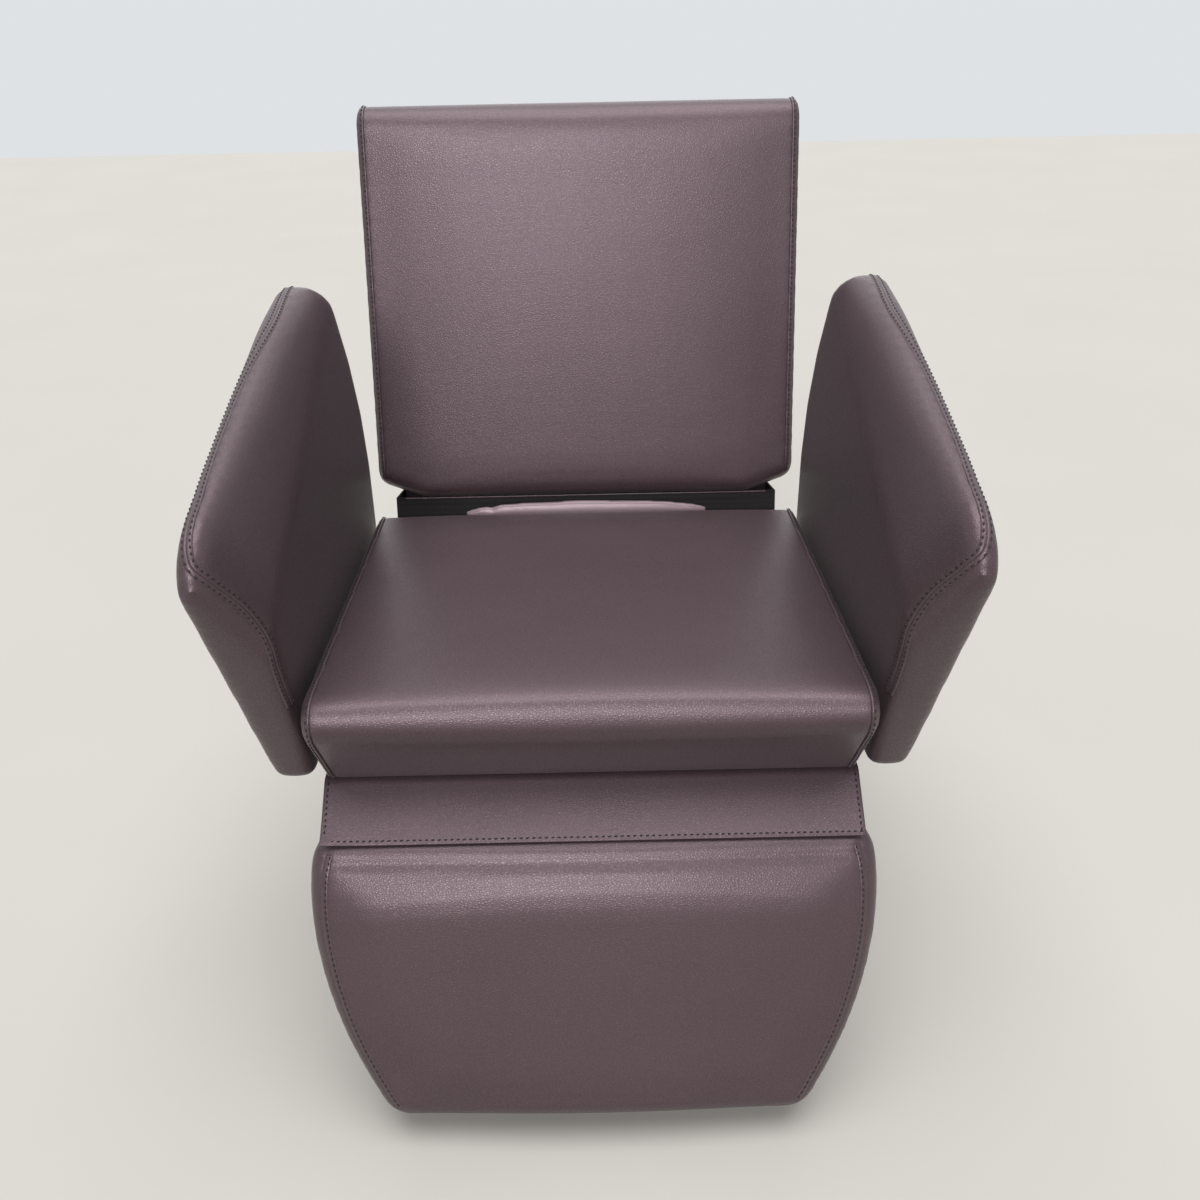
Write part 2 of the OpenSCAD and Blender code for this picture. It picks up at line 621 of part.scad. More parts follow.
module back_board() color("burlywood") on_back() difference() {
  translate([0, back_board_y + back_board_t, 0]) rotate([90, 0, 0]) linear_extrude(back_board_t)
    polygon([
      [-back_corner + back_chamfer, back_z + 8], [back_corner - back_chamfer, back_z + 8],
      [back_corner, back_z + 8 + back_chamfer], [back_corner, back_z + back_h - 12],
      [-back_corner, back_z + back_h - 12], [-back_corner, back_z + 8 + back_chamfer]
    ]);
  for (x = [-1, 1], z = crossbar_z) translate([x * crossbar_screw_x, back_board_y + back_board_t + 1, z])
    rotate([90, 0, 0]) cylinder(h = screw_bite + 1, d = screw_d + 2 * hole_gap);
}
back_edge = 8;
function back_ring(x, inset) =
  let (
    out = abs(x) - (back_w / 2 - back_chamfer),
    low = back_z + (out > 0 ? out : 0),
    high = back_z + back_h
  )
  [
    for (p = rounded(
      [[back_front + 18, low + 18, 18], [back_front + back_t - 13, low + 13, 13],
       [back_front + back_t - 13, high - 13, 13], [back_front + 24, high - 24, 24]],
      inset, 4, [1, 2, 1, 10]
    ))
      let (
        front = p[0] < back_front + 20 ? 1 : 0,
        y = p[0] - front * back_crown * (hump(x, -back_w / 2, back_w / 2) * hump(p[1], low - 60, high + 60) - 0.5)
      )
      [x, y, p[1]]
  ];
module back_cushion() color("#57474a") on_back()
  skin([for (s = stations(back_w / 2, back_edge, 5, 10)) back_ring(s[0], s[1])]);
module shell_outline(w, low, high, c) polygon([
  [-w + c, low], [w - c, low], [w, low + c], [w, high - c / 2], [w - c / 2, high],
  [-w + c / 2, high], [-w, high - c / 2], [-w, low + c]
]);
module back_shell() color("#4a3d40") on_back() difference() {
  union() {
    translate([0, back_tube_y + shell_depth + back_shell_wall, 0]) rotate([90, 0, 0])
      linear_extrude(shell_depth + back_shell_wall - soft_gap)
        shell_outline(back_shell_w / 2, back_z + 4, back_z + back_h - 6, back_chamfer);
    translate([-tail_w / 2, back_tube_y + shell_depth, tail_z]) cube([tail_w, back_shell_wall, tail_h + 12]);
  }
  translate([0, back_tube_y + shell_depth, 0]) rotate([90, 0, 0]) linear_extrude(shell_depth + 1)
    shell_outline(
      back_shell_w / 2 - back_shell_wall, back_z + 4 + back_shell_wall, back_z + back_h - 6 - back_shell_wall,
      back_chamfer - 2
    );
  for (s = [-1, 1]) translate([s * (upright_x + steel_t / 2), back_tube_y + upright / 2 - 1, back_z + 20])
    cube([upright + steel_t + 3, upright + 3, 60], center = true);
}
module back_tail() color("#3a3033") on_back() {
  translate([-tail_w / 2, tail_front, tail_z]) cube([tail_w, tail_wall, tail_h]);
  for (s = [-1, 1]) scale([s, 1, 1]) translate([tail_w / 2 - tail_wall, tail_front, tail_z])
    cube([tail_wall, back_tube_y + shell_depth - tail_front, tail_h]);
}
module link_pin() {
  bar_x(link_x - steel_t / 2 - side_gap - pin_head_t, link_x - steel_t / 2 - side_gap, pin_head_d);
  bar_x(link_x - steel_t / 2 - side_gap, ear_x + steel_t / 2 + 1, pin_d);
  bar_x(ear_x + steel_t / 2 + side_gap, ear_x + steel_t / 2 + side_gap + pin_head_t, pin_head_d);
}
module rear_link_pins() color("silver") each_side()
  translate([0, back_axis[0] + crank[0], back_axis[1] + crank[1]]) link_pin();

// ---- Leg rest ----
module leg_ear(s) side(s) color("dimgray") on_leg() difference() {
  side_plate(ear_x, steel_t) {
    circle(leg_ear_r);
    strap([0, 0], crank_in(leg_tilt), 18);
    translate(crank_in(leg_tilt)) circle(10);
    strap([2, -4], [leg_tube_y + upright / 2, -46], 14);
    translate([leg_tube_y, -150]) square([upright, 106]);
  }
  bar_x(ear_x - steel_t, ear_x + steel_t, pin_d + 2 * run_fit);
  translate([0, crank_in(leg_tilt)[0], crank_in(leg_tilt)[1]])
    bar_x(ear_x - steel_t, ear_x + steel_t, pin_d + 2 * run_fit);
}
module leg_ear_left() leg_ear(-1);
module leg_ear_right() leg_ear(1);
module leg_upright(s) side(s) color("dimgray") on_leg()
  translate([upright_x, leg_tube_y + upright / 2, (leg_tube_top - 34 + leg_tube_foot) / 2])
    tube_z(leg_tube_top - 34 - leg_tube_foot, upright);
module leg_upright_left() leg_upright(-1);
module leg_upright_right() leg_upright(1);
leg_crossbar_z = [leg_top - 70, leg_tube_foot + 30];
module leg_crossbars() color("dimgray") on_leg() for (z = leg_crossbar_z) crossbar(z, leg_tube_y);
module leg_screws() color("silver") on_leg() for (x = [-1, 1], z = leg_crossbar_z)
  translate([x * crossbar_screw_x, leg_tube_y + upright, z]) crossbar_screw();
function leg_half(z) = leg_w / 2 - leg_taper * pow(max(0, leg_top - leg_bulge - z), 2)
  - 0.0018 * pow(max(0, z - leg_top + leg_bulge), 2);
module leg_board() color("burlywood") on_leg() difference() {
  translate([0, leg_board_y + leg_board_t, 0]) rotate([90, 0, 0]) linear_extrude(leg_board_t)
    polygon(concat(
      [for (k = [0:8]) let (z = leg_top - 14 - k * (leg_len - 26) / 8) [leg_half(z) - 14, z]],
      [for (k = [8:-1:0]) let (z = leg_top - 14 - k * (leg_len - 26) / 8) [14 - leg_half(z), z]]
    ));
  for (x = [-1, 1], z = leg_crossbar_z) translate([x * crossbar_screw_x, leg_board_y + leg_board_t + 1, z])
    rotate([90, 0, 0]) cylinder(h = screw_bite + 1, d = screw_d + 2 * hole_gap);
}
leg_edge = 8;
function leg_stations() = concat(
  [[leg_top - 3, 20], [leg_top, 14]],
  [for (t = [30, 60, 90]) [leg_top - leg_roll * (1 - cos(t)), 14 * (1 - sin(t))]],
  [for (k = [1:9]) [leg_top - leg_roll - (leg_len - leg_roll - 14) * k / 10, 0]],
  [for (t = [90, 60, 30, 0]) [leg_top - leg_len + 14 * (1 - cos(t)), 14 * (1 - sin(t))]],
  [[leg_top - leg_len + 4, 20]]
);
function leg_ring(z, inset) =
  let (
    w = leg_half(z),
    top_in = max(0, z - leg_top + leg_roll),
    front = leg_front + leg_roll - sqrt(max(0, leg_roll * leg_roll - top_in * top_in)),
    rear = leg_front + leg_t,
    depth = max(4, rear - front - inset)
  )
  [
    for (p = rounded(
      [[-w + 22, 22, 22], [w - 22, 22, 22], [w - 22, 60, 22], [-w + 22, 60, 22]],
      min(inset, 20), 4, [10, 1, 1, 1]
    ))
      let (
        v = p[1] / 82,
        y = front + inset * 0.6 + (depth - inset * 0.2) * v - (v < 0.2 ? leg_crown * (hump(p[0], -w, w) - 0.5) : 0)
      )
      [p[0], min(y, rear), z]
  ];
module leg_cushion() color("#57474a") on_leg() skin([for (s = leg_stations()) leg_ring(s[0], s[1])]);

// The cloth flap hangs from the seat's front foot and lies on the leg rest's upper roll
flap_start = [leg_axis[0] - 2, leg_axis[1] + 12.8];
flap_slope = 37;
module flap() color("#57474a") translate([-flap_w / 2, flap_start[0], flap_start[1]]) rotate([flap_slope, 0, 0])
  translate([0, -flap_len, 0]) cube([flap_w, flap_len, flap_t]);
module front_link_pins() color("silver") each_side()
  translate([0, leg_axis[0] + crank[0], leg_axis[1] + crank[1]]) link_pin();

// ---- Push links ----
link_h = 18;
module push_link(s) side(s) color("silver") difference() {
  side_plate(link_x, steel_t) {
    strap(leg_axis + crank, back_axis + crank, link_h - 2);
    for (p = [leg_axis, back_axis]) translate(p + crank) circle(link_h / 2);
  }
  for (p = [leg_axis, back_axis]) translate([0, p[0] + crank[0], p[1] + crank[1]])
    bar_x(link_x - steel_t, link_x + steel_t, pin_d + 2 * run_fit);
}
module push_link_left() push_link(-1);
module push_link_right() push_link(1);

// ---- Release shaft with its lever and grip ----
lever_t = 5;
clip_t = 1.2;
clip_x = spring_x + spring_pitch * spring_turns + 2 * spring_wire + side_gap;
module release_lever() color("dimgray") translate([0, back_axis[0], back_axis[1]]) {
  bar_x(-rail_inner - 4, lever_x + lever_t / 2 + 2, shaft_d);
  bar_x(-rail_inner - side_gap - clip_t, -rail_inner - side_gap, shaft_d + 5);
  bar_x(clip_x, clip_x + clip_t, shaft_d + 5);
  side_plate(lever_x, lever_t) {
    circle(13);
    strap([0, 0], [0, -lever_drop], lever_w);
    translate([0, -lever_drop]) circle(lever_w / 2 + 0.5);
    strap([0, -lever_drop], [-lever_reach, -lever_drop - 15], lever_w);
    translate([-lever_reach, -lever_drop - 15]) circle(lever_w / 2 + 1);
  }
  translate([0, -lever_reach, -lever_drop - 15]) bar_x(lever_x, lever_x + grip_len, grip_d);
}

floor_plate();
plate_trim();
column_side_left();
column_side_right();
column_cover_front();
column_cover_rear();
base_screws();
top_plate();
frame_bolts();
rail_left();
rail_right();
rail_front();
rail_mid_front();
rail_mid_rear();
rail_rear();
seat_board();
seat_cushion();
gap_cover();
arm_bracket_left();
arm_bracket_right();
arm_bolts();
arm_board_left();
arm_board_right();
arm_pad_left();
arm_pad_right();
hinge_bracket_left();
hinge_bracket_right();
recliner_fixed_left();
recliner_fixed_right();
leg_bracket_left();
leg_bracket_right();
leg_pins();
leg_spacers();
return_spring();
recliner_moving_left();
recliner_moving_right();
back_ear_left();
back_ear_right();
back_upright_left();
back_upright_right();
back_crossbars();
back_screws();
back_board();
back_cushion();
back_shell();
back_tail();
rear_link_pins();
leg_ear_left();
leg_ear_right();
leg_upright_left();
leg_upright_right();
leg_crossbars();
leg_screws();
leg_board();
leg_cushion();
flap();
front_link_pins();
push_link_left();
push_link_right();
release_lever();
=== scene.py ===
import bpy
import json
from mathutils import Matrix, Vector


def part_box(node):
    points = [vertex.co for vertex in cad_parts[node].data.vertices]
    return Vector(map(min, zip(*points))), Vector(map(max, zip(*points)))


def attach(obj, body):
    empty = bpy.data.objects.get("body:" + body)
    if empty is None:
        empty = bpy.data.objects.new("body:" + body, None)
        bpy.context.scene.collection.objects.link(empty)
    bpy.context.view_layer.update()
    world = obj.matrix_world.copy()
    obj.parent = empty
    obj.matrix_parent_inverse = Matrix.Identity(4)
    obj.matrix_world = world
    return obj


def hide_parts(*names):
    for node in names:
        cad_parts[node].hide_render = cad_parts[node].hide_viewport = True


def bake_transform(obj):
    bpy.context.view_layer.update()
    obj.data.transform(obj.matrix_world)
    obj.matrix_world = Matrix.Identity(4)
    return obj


bl_info = {
    "name": "Salon footcare chair",
    "version": (1, 0, 0),
    "blender": (4, 5, 0),
    "location": "View3D > Sidebar > Chair",
    "description": "Upholstery, seams, trim and finishes of a reclining salon chair",
    "category": "Add Mesh",
}

import json
import math

import bmesh
import bpy
from mathutils import Matrix, Vector, noise
from mathutils.bvhtree import BVHTree
from mathutils.geometry import convex_hull_2d
from mathutils.kdtree import KDTree

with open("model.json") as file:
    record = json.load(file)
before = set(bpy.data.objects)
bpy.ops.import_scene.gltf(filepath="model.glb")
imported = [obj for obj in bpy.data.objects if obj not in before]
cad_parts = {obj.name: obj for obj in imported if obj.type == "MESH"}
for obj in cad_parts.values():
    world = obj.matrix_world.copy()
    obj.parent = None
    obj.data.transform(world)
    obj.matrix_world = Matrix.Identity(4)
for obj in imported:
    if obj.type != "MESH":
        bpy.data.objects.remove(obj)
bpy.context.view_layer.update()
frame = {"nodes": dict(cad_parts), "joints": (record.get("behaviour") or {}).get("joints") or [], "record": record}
MM = 0.001

# The tilted bodies: each hinge axis, and how far its body leans at rest
BACK_LEAN = 13.0
LEG_TILT = 17.5
AXES = {j["name"]: Vector(j["pos_m"]) for j in frame["joints"]}
BACK = Matrix.Translation(AXES["backrest_recline"]) @ Matrix.Rotation(math.radians(-BACK_LEAN), 4, "X")
LEG = Matrix.Translation(AXES["leg_rest_lift"]) @ Matrix.Rotation(math.radians(-LEG_TILT), 4, "X")

# Rear face of the back shell and of the leg rest's board, in their own tilted frames
SHELL_REAR = 52.3 * MM
LEG_TUBE_FOOT = -293 * MM
LEG_TUBE_REAR = 33.3 * MM


def srgb(code):
    """A hex colour as linear light, with alpha"""
    parts = [int(code[i : i + 2], 16) / 255 for i in (1, 3, 5)]
    return [c / 12.92 if c <= 0.04045 else ((c + 0.055) / 1.055) ** 2.4 for c in parts] + [1.0]


# ---- Small helpers for modelling ----
def choose(obj):
    """Makes a piece the only one that the next operator acts on"""
    bpy.ops.object.select_all(action="DESELECT")
    obj.select_set(True)
    bpy.context.view_layer.objects.active = obj


def apply_modifier(obj, kind, **settings):
    choose(obj)
    modifier = obj.modifiers.new(kind.lower(), kind)
    for key, value in settings.items():
        setattr(modifier, key, value)
    bpy.ops.object.modifier_apply(modifier=modifier.name)


def settle(obj, turn=None):
    """Puts the piece in its body's tilted frame and leaves its object at the origin"""
    if turn is not None:
        obj.matrix_world = turn @ obj.matrix_world
    choose(obj)
    bpy.ops.object.transform_apply(location=True, rotation=True, scale=True)


def smooth(obj, angle=50):
    choose(obj)
    bpy.ops.object.shade_smooth_by_angle(angle=math.radians(angle))


def new_mesh(name, verts, faces):
    mesh = bpy.data.meshes.new(name)
    mesh.from_pydata(verts, [], faces)
    mesh.validate()
    obj = bpy.data.objects.new(name, mesh)
    bpy.context.collection.objects.link(obj)
    return obj


def dress(obj, material, body):
    """Gives a piece its finish and the body that it rides on"""
    obj.data.materials.clear()
    obj.data.materials.append(bpy.data.materials[material])
    if body:
        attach(obj, body)


def select_where(test, kind="faces"):
    """Selects only the faces, edges or vertices of the mesh in edit mode that pass the test"""
    bm = bmesh.from_edit_mesh(bpy.context.object.data)
    bpy.ops.mesh.select_all(action="DESELECT")
    for item in getattr(bm, kind):
        item.select = test(item)
    bm.select_flush_mode()
    bmesh.update_edit_mesh(bpy.context.object.data)


# ---- Materials ----
def wire(tree, node, links):
    """Links outputs of other nodes to the inputs of one"""
    for key, source in links.items():
        tree.links.new(source, node.inputs[key])


def add_node(tree, kind, inputs=None, links=None, **settings):
    node = tree.nodes.new(kind)
    for key, value in settings.items():
        setattr(node, key, value)
    for key, value in (inputs or {}).items():
        node.inputs[key].default_value = value
    wire(tree, node, links or {})
    return node


def start_material(name, colour, roughness, **inputs):
    """A plain material of one colour, and the place on the piece that its pattern is worked out from"""
    material = bpy.data.materials.new(name)
    material.use_nodes = True
    material.diffuse_color = srgb(colour)
    tree = material.node_tree
    shader = tree.nodes["Principled BSDF"]
    shader.inputs["Base Color"].default_value = srgb(colour)
    shader.inputs["Roughness"].default_value = roughness
    for key, value in inputs.items():
        shader.inputs[key.replace("_", " ")].default_value = value
    place = add_node(tree, "ShaderNodeTexCoord")
    return tree, shader, place.outputs["Object"]


def make_vinyl(name, dark, light, grain, depth, roughness):
    """PU-coated upholstery fabric, embossed hot by a roller: flat-topped pebbles with narrow creases between
    them, satin on the tops and duller in the creases"""
    tree, shader, place = start_material(
        name, light, roughness, Specular_IOR_Level=0.7, Specular_Tint=srgb("#ffe6f0"), Sheen_Weight=0.04
    )
    # The cloth runs across the chair, and the roller draws the pebbles out a little along it
    drawn = add_node(tree, "ShaderNodeMapping", {"Scale": (0.72, 1.0, 1.0)}, {"Vector": place}).outputs[0]
    warp = add_node(tree, "ShaderNodeTexNoise", {"Scale": 1 / (1.4 * grain), "Detail": 2.0}, {"Vector": drawn})
    push = add_node(
        tree, "ShaderNodeVectorMath", {1: (0.9 * grain,) * 3}, {0: warp.outputs["Color"]}, operation="MULTIPLY"
    )
    moved = add_node(tree, "ShaderNodeVectorMath", None, {0: drawn, 1: push.outputs[0]}, operation="ADD")
    pebble = add_node(
        tree,
        "ShaderNodeTexVoronoi",
        {"Scale": 1 / grain},
        {"Vector": moved.outputs[0]},
        feature="DISTANCE_TO_EDGE",
    ).outputs["Distance"]
    tops = add_node(tree, "ShaderNodeMapRange", {"From Max": 0.38}, {"Value": pebble}).outputs["Result"]
    # Pores of 0.6 mm on the pebbles' tops
    pores = add_node(tree, "ShaderNodeTexNoise", {"Scale": 1 / (0.6 * MM), "Detail": 2.0}, {"Vector": drawn})
    height = add_node(
        tree, "ShaderNodeMath", {1: 0.07}, {0: pores.outputs["Fac"], 2: tops}, operation="MULTIPLY_ADD"
    )
    bump = add_node(tree, "ShaderNodeBump", {"Distance": depth}, {"Height": height.outputs[0]})
    # The colour drifts a little over a hand's breadth, and the creases are painted darker, as painted shade
    drift = add_node(tree, "ShaderNodeTexNoise", {"Scale": 1 / (90 * MM), "Detail": 2.0}, {"Vector": drawn})
    patch = add_node(
        tree,
        "ShaderNodeMapRange",
        {"From Min": 0.3, "From Max": 0.7, "To Min": 0.26, "To Max": 0.38},
        {"Value": drift.outputs["Fac"]},
    )
    shade = add_node(
        tree, "ShaderNodeMath", {1: 0.6}, {0: tops, 2: patch.outputs["Result"]}, operation="MULTIPLY_ADD"
    )
    tone = add_node(
        tree, "ShaderNodeMix", {6: srgb(dark), 7: srgb(light)}, {0: shade.outputs[0]}, data_type="RGBA"
    )
    gloss = add_node(
        tree,
        "ShaderNodeMapRange",
        {"From Max": 0.2, "To Min": roughness + 0.14, "To Max": roughness},
        {"Value": pebble},
    )
    wire(
        tree,
        shader,
        {"Base Color": tone.outputs[2], "Roughness": gloss.outputs["Result"], "Normal": bump.outputs["Normal"]},
    )


def make_thread(name, dark, light):
    """Bonded polyester thread: plies twisted every 1.2 mm, with a low gloss"""
    tree, shader, place = start_material(name, light, 0.55)
    twist = add_node(
        tree,
        "ShaderNodeTexWave",
        {"Scale": 1 / (1.2 * MM), "Distortion": 1.5},
        {"Vector": place},
        bands_direction="DIAGONAL",
    ).outputs["Fac"]
    bump = add_node(tree, "ShaderNodeBump", {"Strength": 0.6, "Distance": 0.1 * MM}, {"Height": twist})
    tone = add_node(tree, "ShaderNodeMix", {6: srgb(dark), 7: srgb(light)}, {0: twist}, data_type="RGBA")
    wire(tree, shader, {"Base Color": tone.outputs[2], "Normal": bump.outputs["Normal"]})


def make_powder_coat(name, dark, light, roughness):
    """Polyester powder baked on steel: an orange peel of 1.8 mm with a soft gloss, a little dusty in patches"""
    tree, shader, place = start_material(name, light, roughness)
    peel = add_node(tree, "ShaderNodeTexNoise", {"Scale": 1 / (1.8 * MM), "Detail": 2.0}, {"Vector": place})
    bump = add_node(
        tree, "ShaderNodeBump", {"Strength": 0.5, "Distance": 0.12 * MM}, {"Height": peel.outputs["Fac"]}
    )
    dust = add_node(
        tree, "ShaderNodeTexNoise", {"Scale": 1 / (60 * MM), "Detail": 4.0}, {"Vector": place}
    ).outputs["Fac"]
    patch = add_node(tree, "ShaderNodeMapRange", {"From Min": 0.3, "From Max": 0.7}, {"Value": dust})
    tone = add_node(
        tree, "ShaderNodeMix", {6: srgb(dark), 7: srgb(light)}, {0: patch.outputs["Result"]}, data_type="RGBA"
    )
    gloss = add_node(
        tree,
        "ShaderNodeMapRange",
        {"From Min": 0.3, "From Max": 0.7, "To Min": roughness - 0.05, "To Max": roughness + 0.08},
        {"Value": dust},
    )
    wire(
        tree,
        shader,
        {"Base Color": tone.outputs[2], "Roughness": gloss.outputs["Result"], "Normal": bump.outputs["Normal"]},
    )


def make_zinc(name, dark, light):
    """Zinc plate on steel: a pale grey metal with soft spangles of 3.5 mm and a satin finish"""
    tree, shader, place = start_material(name, light, 0.36, Metallic=1.0)
    spangle = add_node(tree, "ShaderNodeTexVoronoi", {"Scale": 1 / (3.5 * MM)}, {"Vector": place}, feature="F1")
    grey = add_node(tree, "ShaderNodeRGBToBW", None, {"Color": spangle.outputs["Color"]}).outputs["Val"]
    tone = add_node(tree, "ShaderNodeMix", {6: srgb(dark), 7: srgb(light)}, {0: grey}, data_type="RGBA")
    gloss = add_node(tree, "ShaderNodeMapRange", {"To Min": 0.3, "To Max": 0.46}, {"Value": grey})
    rub = add_node(tree, "ShaderNodeTexNoise", {"Scale": 1 / (0.8 * MM), "Detail": 2.0}, {"Vector": place})
    bump = add_node(
        tree, "ShaderNodeBump", {"Strength": 0.35, "Distance": 0.05 * MM}, {"Height": rub.outputs["Fac"]}
    )
    wire(
        tree,
        shader,
        {"Base Color": tone.outputs[2], "Roughness": gloss.outputs["Result"], "Normal": bump.outputs["Normal"]},
    )


def make_moulded(name, dark, light, roughness, patch):
    """Moulded rubber or nylon: an even colour with faint flow marks, and the fine spark-eroded grain that the
    mould leaves, drawn 0.7 mm wide so that it shows"""
    tree, shader, place = start_material(name, light, roughness)
    flow = add_node(
        tree, "ShaderNodeTexNoise", {"Scale": 1 / patch, "Detail": 3.0}, {"Vector": place}
    ).outputs["Fac"]
    drift = add_node(tree, "ShaderNodeMapRange", {"From Min": 0.3, "From Max": 0.7}, {"Value": flow})
    tone = add_node(
        tree, "ShaderNodeMix", {6: srgb(dark), 7: srgb(light)}, {0: drift.outputs["Result"]}, data_type="RGBA"
    )
    gloss = add_node(
        tree,
        "ShaderNodeMapRange",
        {"From Min": 0.3, "From Max": 0.7, "To Min": roughness - 0.06, "To Max": roughness + 0.06},
        {"Value": flow},
    )
    grain = add_node(tree, "ShaderNodeTexNoise", {"Scale": 1 / (0.7 * MM), "Detail": 2.0}, {"Vector": place})
    bump = add_node(
        tree, "ShaderNodeBump", {"Strength": 0.4, "Distance": 0.08 * MM}, {"Height": grain.outputs["Fac"]}
    )
    wire(
        tree,
        shader,
        {"Base Color": tone.outputs[2], "Roughness": gloss.outputs["Result"], "Normal": bump.outputs["Normal"]},
    )


def make_dust_cloth(name, dark, light):
    """Spunbonded polypropylene: matt felted fibres, pressed together in small dots 1.6 mm apart that are
    lower and a little glossier"""
    tree, shader, place = start_material(name, light, 0.86)
    dots = add_node(
        tree,
        "ShaderNodeTexVoronoi",
        {"Scale": 1 / (1.6 * MM), "Randomness": 0.15},
        {"Vector": place},
        feature="F1",
    )
    felt = add_node(
        tree, "ShaderNodeMapRange", {"From Min": 0.2, "From Max": 0.42}, {"Value": dots.outputs["Distance"]}
    ).outputs["Result"]
    fibres = add_node(
        tree, "ShaderNodeTexNoise", {"Scale": 1 / (3 * MM), "Detail": 5.0}, {"Vector": place}
    ).outputs["Fac"]
    height = add_node(tree, "ShaderNodeMath", {1: 0.5}, {0: fibres, 2: felt}, operation="MULTIPLY_ADD")
    bump = add_node(
        tree, "ShaderNodeBump", {"Strength": 0.5, "Distance": 0.1 * MM}, {"Height": height.outputs[0]}
    )
    tone = add_node(tree, "ShaderNodeMix", {6: srgb(dark), 7: srgb(light)}, {0: fibres}, data_type="RGBA")
    gloss = add_node(tree, "ShaderNodeMapRange", {"To Min": 0.7, "To Max": 0.9}, {"Value": felt})
    wire(
        tree,
        shader,
        {"Base Color": tone.outputs[2], "Roughness": gloss.outputs["Result"], "Normal": bump.outputs["Normal"]},
    )


def make_plywood(name, turn):
    """Birch plywood, rotary cut and glued crosswise: pale faces with long grain, and striped edges whose
    layers are 1.4 mm thick"""
    tree, shader, place = start_material(name, "#c9a577", 0.62)
    laid = add_node(tree, "ShaderNodeMapping", {"Rotation": turn}, {"Vector": place}).outputs[0]
    # A wave's bands are a twentieth of a turn of its scale apart
    layers = add_node(
        tree,
        "ShaderNodeTexWave",
        {"Scale": math.pi / (20 * 1.4 * MM), "Distortion": 0.4, "Detail": 1.0},
        {"Vector": laid},
        bands_direction="Z",
    )
    along = add_node(tree, "ShaderNodeMapping", {"Scale": (1.0, 9.0, 1.0)}, {"Vector": laid}).outputs[0]
    grain = add_node(
        tree, "ShaderNodeTexNoise", {"Scale": 1 / (60 * MM), "Detail": 6.0}, {"Vector": along}
    ).outputs["Fac"]
    streak = add_node(tree, "ShaderNodeMapRange", {"From Min": 0.3, "From Max": 0.7}, {"Value": grain})
    wood = add_node(
        tree,
        "ShaderNodeMix",
        {6: srgb("#b88d5c"), 7: srgb("#d6b68a")},
        {0: streak.outputs["Result"]},
        data_type="RGBA",
    )
    stripe = add_node(
        tree,
        "ShaderNodeMapRange",
        {"From Min": 0.3, "From Max": 0.7, "To Max": 0.45},
        {"Value": layers.outputs["Fac"]},
    )
    tone = add_node(
        tree,
        "ShaderNodeMix",
        {7: srgb("#8a6238")},
        {0: stripe.outputs["Result"], 6: wood.outputs[2]},
        data_type="RGBA",
    )
    bump = add_node(tree, "ShaderNodeBump", {"Strength": 0.5, "Distance": 0.2 * MM}, {"Height": grain})
    wire(tree, shader, {"Base Color": tone.outputs[2], "Normal": bump.outputs["Normal"]})


# ---- Upholstery ----
def foam_body(node, name, voxel, smoothing, whole=False):
    """A copy of the frame's solid, merged and evenly remeshed, ready to swell. whole closes every pocket in it"""
    obj = bpy.data.objects.new(name, frame["nodes"][node].data.copy())
    bpy.context.collection.objects.link(obj)
    choose(obj)
    bpy.ops.object.mode_set(mode="EDIT")
    bpy.ops.mesh.select_all(action="SELECT")
    bpy.ops.mesh.remove_doubles(threshold=0.02 * MM)
    if whole:
        bpy.ops.mesh.convex_hull()
    bpy.ops.mesh.select_all(action="SELECT")
    bpy.ops.mesh.normals_make_consistent(inside=False)
    bpy.ops.object.mode_set(mode="OBJECT")
    apply_modifier(obj, "REMESH", mode="VOXEL", voxel_size=voxel)
    if smoothing:
        apply_modifier(obj, "SMOOTH", factor=0.5, iterations=smoothing)
    return obj


def swell(obj, pressure, most, sewn):
    """The foam presses its cover outwards between the places that are sewn or rest on something. No point
    moves further than most"""
    start = [v.co.copy() for v in obj.data.vertices]
    held = obj.vertex_groups.new(name="held")
    held.add([v.index for v in obj.data.vertices if sewn(v.co)], 1.0, "REPLACE")
    cover = obj.modifiers.new("cover", "CLOTH")
    cover.settings.quality = 4
    cover.settings.mass = 0.4
    cover.settings.tension_stiffness = 25
    cover.settings.compression_stiffness = 25
    cover.settings.bending_stiffness = 2
    cover.settings.use_pressure = True
    cover.settings.uniform_pressure_force = pressure
    cover.settings.vertex_group_mass = held.name
    cover.settings.effector_weights.gravity = 0
    cover.collision_settings.use_collision = False
    scene = bpy.context.scene
    for step in range(1, 21):
        scene.frame_set(step)
    choose(obj)
    bpy.ops.object.modifier_apply(modifier=cover.name)
    scene.frame_set(1)
    moves = [v.co - rest for v, rest in zip(obj.data.vertices, start)]
    moves = [m * (most * math.tanh(m.length / most) / max(m.length, 1e-9)) for m in moves]
    # Firm foam evens out the ripples of the cover, which stays down where it is held
    free = [0.0 if sewn(rest) else 1.0 for rest in start]
    edges = [tuple(e.vertices) for e in obj.data.edges]
    for _ in range(30):
        sums = [m.copy() for m in moves]
        shares = [1] * len(moves)
        for a, b in edges:
            sums[a] += moves[b]
            sums[b] += moves[a]
            shares[a] += 1
            shares[b] += 1
        moves = [total * (free[i] / shares[i]) for i, total in enumerate(sums)]
    for v, rest, move in zip(obj.data.vertices, start, moves):
        v.co = rest + move
    obj.vertex_groups.clear()


def cover_lookup(obj):
    """Finds the nearest place on a cover, and its outward direction"""
    mesh = obj.data
    tree = BVHTree.FromPolygons([v.co for v in mesh.vertices], [p.vertices for p in mesh.polygons])
    return lambda point: tree.find_nearest(point)[:2]


